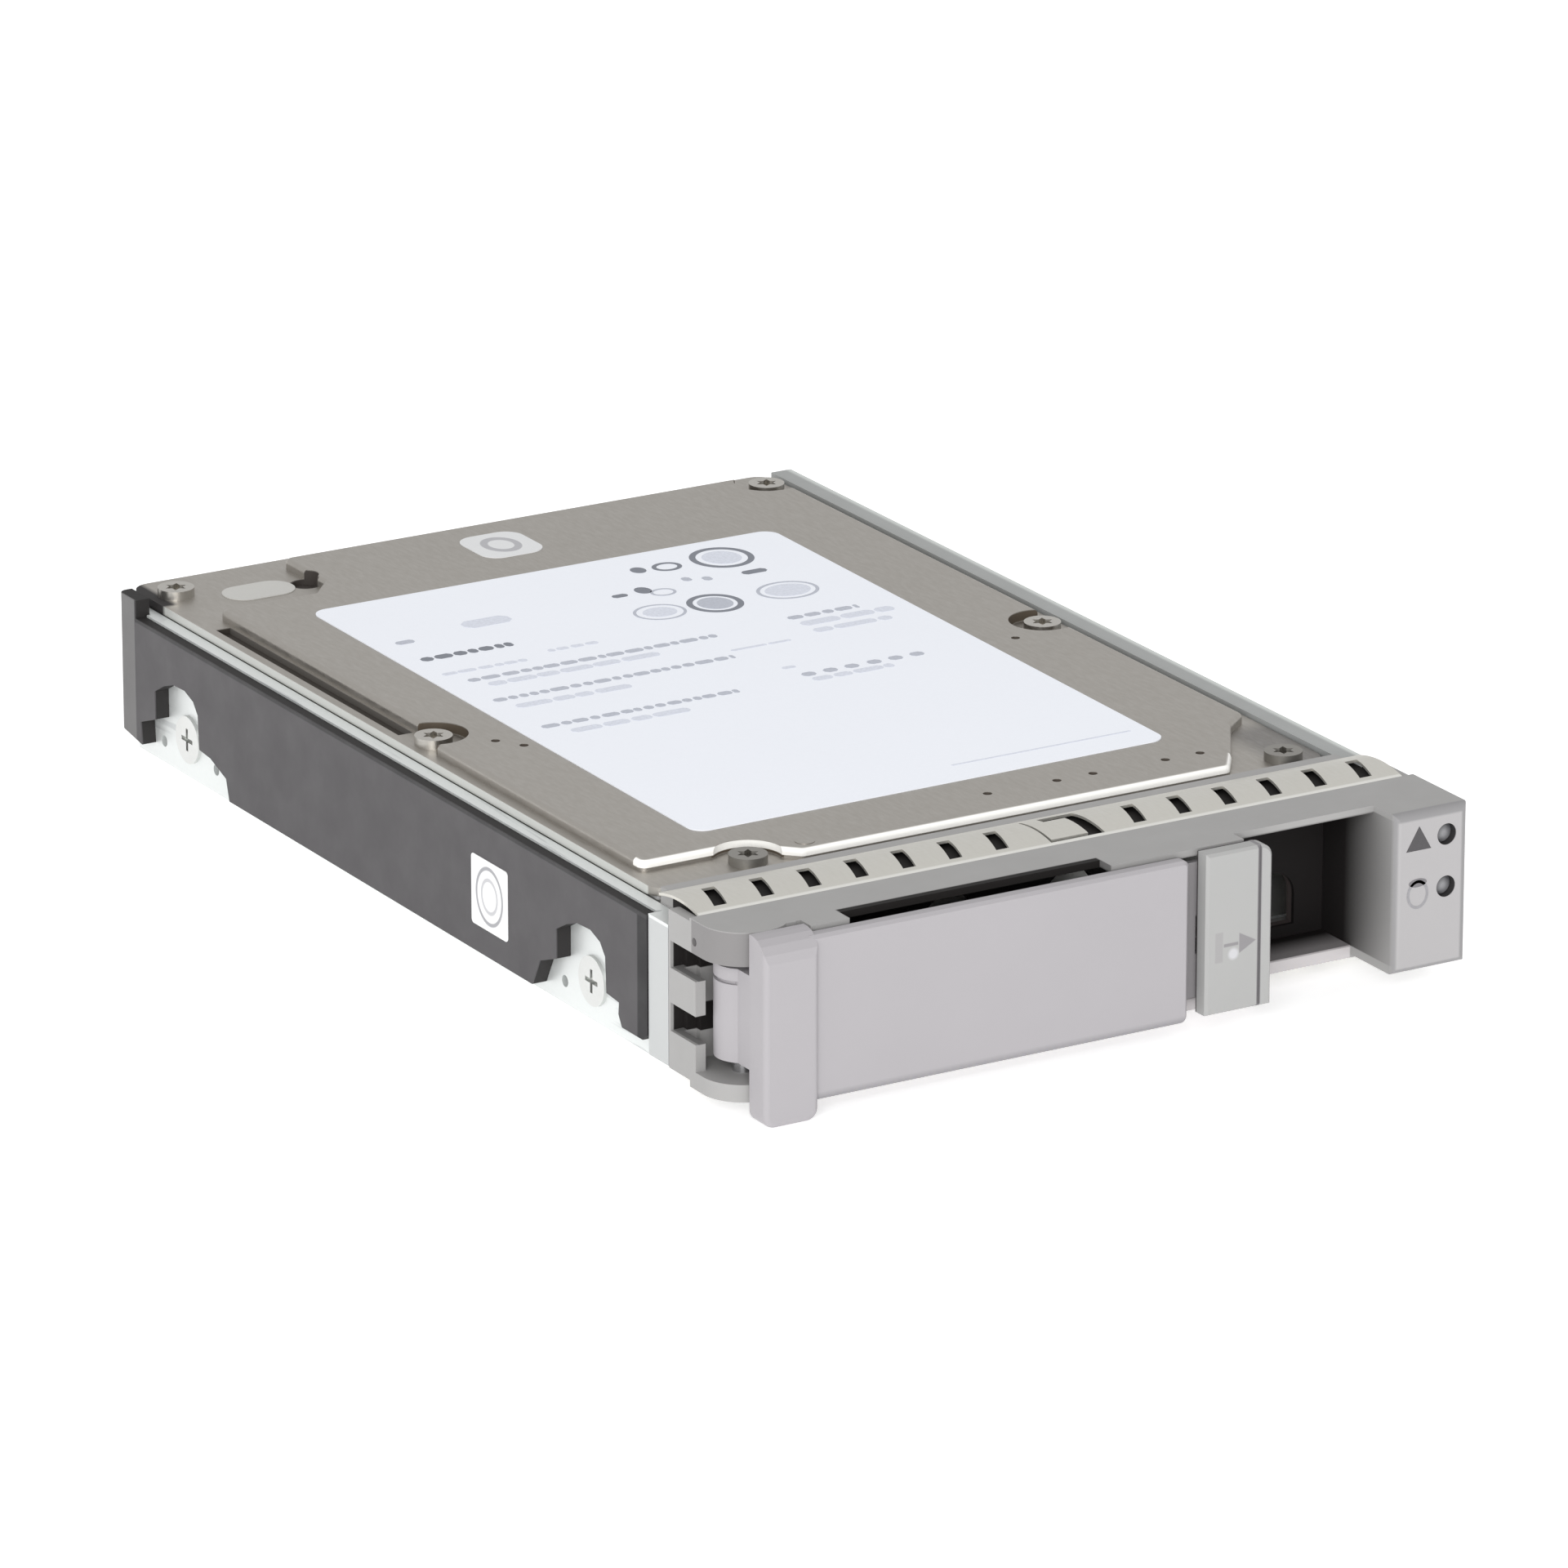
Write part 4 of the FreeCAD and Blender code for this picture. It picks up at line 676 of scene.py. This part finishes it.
# More slots, with plain surfaces: kind of surface, colour, and that kind's further settings in their order.
PLAIN_SLOTS = {
    "gasket_rubber": (moulded, (196, 196, 196), 0.8, 2500.0, 0.1, 0.00003, 0.2),
    "seal_foil": (paper, (197, 196, 192), 0.5),
    "bearing_steel": (metal, (200, 200, 202), 0.2, (1, 1, 0.1)),
    "magnet_nickel": (metal, (190, 188, 184), 0.22, (1, 1, 1), 2000.0),
    "flexure_steel": (metal, (206, 205, 200), 0.25, (1, 0.2, 1)),
    "slider_ceramic": (moulded, (52, 52, 56), 0.2, 6000.0, 0.1, 0.000001, 0.6),
    "ramp_plastic": (moulded, (232, 228, 212), 0.4),
    "filter_felt": (moulded, (232, 231, 226), 0.9, 2200.0, 0.08, 0.00006, 0.1),
    "solder_tin": (metal, (222, 222, 218), 0.24, (1, 1, 1), 2500.0),
    "gold_contact": (metal, (226, 186, 104), 0.2, (1, 1, 1), 3000.0),
    "foam_grey": (moulded, (66, 66, 70), 0.9, 1800.0, 0.12, 0.0001, 0.1),
    "connector_black": (moulded, (40, 40, 42), 0.45, 5000.0, 0.12),
}
for slot_name, (kind, colour, *settings) in PLAIN_SLOTS.items():
    SLOTS[slot_name] = kind(slot_name, linear(*colour), *settings).finish()
# Nodes that share a slot with others but have marks, painted light and shade, or a colour of their own.
OWN_MATERIAL = {
    "cover_sticker": cover_sticker_material(),
    "rail_sticker": rail_sticker_material(),
    "release_button": button_material(),
    "mounting_screws": steel_screws("mounting_steel", linear(218, 219, 217)),
}


def dress():
    """Gives every CAD node the material of its slot in the record, or its own."""
    for part in frame["record"]["subparts"]:
        node = part["node"]
        material = OWN_MATERIAL.get(node, SLOTS[part["material_slot"]])
        if not nodes[node].material_slots:
            nodes[node].data.materials.append(material)
        for slot in nodes[node].material_slots:
            slot.material = material


dress()

# ---------------------------------------------------------------- printed marks

INK_HEIGHT = 0.015 * MM
OVAL_STEPS = 40
# Lengths of the dashes in a printed row, and of the gaps between them, in mm.
SHORT_DASH = (0.7, 1.9)
LONG_DASH = (1.8, 4.5)
DASH_GAP = (0.1, 0.3)


class Print:
    """Thin flat marks on a plane, gathered in one mesh. Marks are given in mm from the origin."""

    def __init__(self, name, origin, across, up, ink, body, slot):
        self.mesh = bmesh.new()
        self.name = name
        self.origin = Vector(origin)
        self.across = Vector(across)
        self.up = Vector(up)
        self.out = self.across.cross(self.up)
        self.ink = ink
        self.body = body
        self.slot = slot

    def point(self, x, y, height):
        return self.origin + self.across * x * MM + self.up * y * MM + self.out * height

    def patch(self, outline, hole=None):
        """A closed outline, solid or with a hole of the same number of points, as a thin plate."""
        tops = [self.mesh.verts.new(self.point(x, y, INK_HEIGHT)) for x, y in outline]
        feet = [self.mesh.verts.new(self.point(x, y, 0.0)) for x, y in outline]
        count = len(outline)
        if hole:
            inner = [self.mesh.verts.new(self.point(x, y, INK_HEIGHT)) for x, y in hole]
            inner_feet = [self.mesh.verts.new(self.point(x, y, 0.0)) for x, y in hole]
        for index in range(count):
            after = (index + 1) % count
            self.mesh.faces.new((feet[index], feet[after], tops[after], tops[index]))
            if hole:
                self.mesh.faces.new((tops[index], tops[after], inner[after], inner[index]))
                self.mesh.faces.new((inner[index], inner[after], inner_feet[after], inner_feet[index]))
        if not hole:
            self.mesh.faces.new(tops)

    def oval(self, x, y, half_width, half_height, band=None):
        """A filled oval, or a ring of the given band."""
        angles = [math.tau * step / OVAL_STEPS for step in range(OVAL_STEPS)]

        def ring(wide, high):
            return [(x + wide * math.cos(angle), y + high * math.sin(angle)) for angle in angles]

        hole = ring(half_width - band, half_height - band) if band else None
        self.patch(ring(half_width, half_height), hole)

    def bar(self, x, y, width, height):
        """A bar with rounded ends, from its lower left corner."""
        soft = min(width, height) * 0.3
        right = x + width
        top = y + height
        self.patch([(x + soft, y), (right - soft, y), (right, y + soft), (right, top - soft),
                    (right - soft, top), (x + soft, top), (x, top - soft), (x, y + soft)])

    def row(self, x, y, length, height, chance, dash=SHORT_DASH):
        """A row of short dashes of uneven length, like a blurred printed line."""
        place = x
        while place < x + length:
            width = min(chance.uniform(*dash), x + length - place)
            if width > 0.3:
                self.bar(place, y, width, height)
            place += width + chance.uniform(*DASH_GAP)

    def make(self):
        """Turns the marks into one object that rides on its body."""
        data = bpy.data.meshes.new(self.name)
        bmesh.ops.recalc_face_normals(self.mesh, faces=self.mesh.faces)
        self.mesh.to_mesh(data)
        self.mesh.free()
        piece = bpy.data.objects.new(self.name, data)
        scene.collection.objects.link(piece)
        data.materials.append(self.ink)
        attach(piece, self.body)


def ink(name, colour):
    """Printing ink: slightly patchy where the paper or plastic shows through."""
    look = Shader(name)
    patchy = look.noise(3500.0, 4.0, 0.7)
    look.colour = look.mix(look.between(patchy, 0.35, 0.7), tinted(colour, 0.92), tinted(colour, 1.12))
    look.roughness = look.between(patchy, 0.3, 0.7, 0.45, 0.6)
    look.bump(patchy, 0.1, 0.000002)
    return look.finish()


def print_label():
    """Generic marks on the drive's label, in mm from the middle of its front edge."""
    origin = (0, cover_low.y + 9.4 * MM, label_high.z)
    chance = random.Random(11)

    def sheet(name, colour):
        paint = ink(name + "_ink", colour)
        return Print(name, origin, (1, 0, 0), (0, 1, 0), paint, "carrier", "label_paper")

    dark = sheet("label_print_dark", linear(120, 124, 134))
    middle = sheet("label_print_middle", linear(184, 188, 199))
    faint = sheet("label_print_faint", linear(216, 220, 231))

    # Rings and ovals at the rear right.
    dark.oval(16.1, 66.7, 3.1, 3.2, 0.62)
    faint.oval(16.1, 66.7, 1.9, 2.0)
    dark.oval(8.5, 54.9, 2.7, 2.8, 0.6)
    middle.oval(8.5, 54.9, 1.7, 1.8)
    middle.oval(16.4, 54.9, 3.1, 2.6, 0.35)
    faint.oval(16.4, 54.9, 2.3, 1.8)
    middle.oval(2.7, 55.2, 2.6, 2.3, 0.3)
    faint.oval(2.7, 55.2, 1.7, 1.4)
    dark.oval(7.3, 67.3, 0.75, 0.9)
    dark.oval(10.2, 66.9, 1.5, 1.3, 0.45)
    dark.oval(4.6, 61.7, 0.8, 1.0)
    middle.oval(6.0, 60.3, 1.3, 1.1, 0.3)
    dark.bar(1.1, 60.9, 1.6, 0.9)
    middle.bar(9.4, 62.0, 0.9, 1.2)
    middle.bar(11.2, 61.2, 0.9, 1.2)
    dark.bar(15.3, 60.9, 2.6, 1.1)

    # Short bold bar and faint block at the rear left.
    middle.bar(-23.1, 58.9, 1.9, 1.0)
    faint.bar(-15.2, 59.8, 5.0, 2.2)
    dark.row(-23.4, 53.4, 9.8, 1.15, chance)

    # Long dashed lines on the left half, each over a fainter one.
    faint.row(-23.8, 48.8, 9.0, 0.8, chance)
    faint.row(-12.0, 50.0, 5.5, 0.8, chance)
    for y, left, length in ((46.0, -22.6, 26.6), (39.8, -23.4, 25.4), (31.0, -23.3, 20.6)):
        middle.row(left, y, length, 0.95, chance)
    for y, left, length in ((44.0, -21.5, 18.0), (37.2, -22.4, 12.5), (28.6, -21.5, 12.5)):
        faint.row(left, y, length, 1.2, chance, LONG_DASH)

    # Block on the right.
    middle.row(12.0, 46.9, 7.6, 1.0, chance)
    faint.row(12.2, 44.6, 10.0, 1.4, chance, LONG_DASH)
    faint.row(12.2, 42.4, 8.4, 1.2, chance, LONG_DASH)
    faint.row(2.6, 41.6, 6.4, 0.5, chance, LONG_DASH)
    faint.bar(4.0, 34.6, 1.4, 0.7)
    for place in (4.6, 6.9, 9.2, 11.6, 13.9, 16.2):
        middle.bar(place, 31.8, 1.4, 1.1)
    faint.row(4.8, 30.2, 8.6, 1.1, chance, LONG_DASH)
    faint.bar(3.0, 3.4, 19.0, 0.3)

    for layer in (dark, middle, faint):
        layer.make()


def print_icons():
    """A solid triangle and a drum outline beside the two lamps."""
    origin = (32.1 * MM, bezel_low.y, (lamp_heights[0] + lamp_heights[1]) / 2)

    def sheet(name, colour):
        paint = ink(name + "_ink", colour)
        return Print(name, origin, (1, 0, 0), (0, 0, 1), paint, "carrier", "bezel_grey")

    solid = sheet("lamp_icons", linear(70, 68, 70))
    solid.patch([(-1.3, 1.45), (1.35, 1.45), (0.05, 3.7)])
    soft = sheet("drum_top", linear(112, 110, 113))
    soft.oval(0.0, -1.6, 0.95, 0.4)
    outline = sheet("drum_outline", linear(142, 141, 144))
    outline.oval(0.0, -2.7, 1.15, 1.35, 0.28)
    for layer in (solid, soft, outline):
        layer.make()


print_label()
print_icons()

# ---------------------------------------------------------------- stage and light

FLOOR_HALF = 6.0
FLOOR_GLOW = 0.45
SURROUND_STRENGTH = 0.78
LAMP_PLACE = Vector((-0.75, -0.95, 0.45))
LAMP_SIZE = 0.7
LAMP_POWER = 9.0


def make_stage():
    """A white floor that glows a little, so that it stays white round the object."""
    mesh = bpy.data.meshes.new("floor")
    corners = [(-FLOOR_HALF, -FLOOR_HALF), (FLOOR_HALF, -FLOOR_HALF),
               (FLOOR_HALF, FLOOR_HALF), (-FLOOR_HALF, FLOOR_HALF)]
    mesh.from_pydata([(x, y, cad_low.z) for x, y in corners], [], [(0, 1, 2, 3)])
    floor = bpy.data.objects.new("floor", mesh)
    scene.collection.objects.link(floor)
    look = Shader("floor_paper")
    look.colour = look.mix(look.noise(3.0), (0.93, 0.93, 0.93), (0.95, 0.95, 0.95))
    look.roughness = 0.9
    look.surface.inputs["Emission Color"].default_value = (1, 1, 1, 1)
    look.surface.inputs["Emission Strength"].default_value = FLOOR_GLOW
    mesh.materials.append(look.finish())


def make_lamp():
    """A square lamp at the front left. It points at the origin, the middle of the object's underside."""
    data = bpy.data.lights.new("front_light", "AREA")
    data.shape = "SQUARE"
    data.size = LAMP_SIZE
    data.energy = LAMP_POWER
    lamp = bpy.data.objects.new("front_light", data)
    lamp.location = LAMP_PLACE
    lamp.rotation_mode = "QUATERNION"
    lamp.rotation_quaternion = (-LAMP_PLACE).to_track_quat("-Z", "Y")
    scene.collection.objects.link(lamp)


def make_light():
    """An even white surround and one large lamp."""
    world = bpy.data.worlds.new("studio")
    world.use_nodes = True
    background = world.node_tree.nodes["Background"]
    background.inputs["Color"].default_value = (1, 1, 1, 1)
    background.inputs["Strength"].default_value = SURROUND_STRENGTH
    scene.world = world
    scene.view_settings.view_transform = "Standard"
    make_lamp()


make_stage()
make_light()
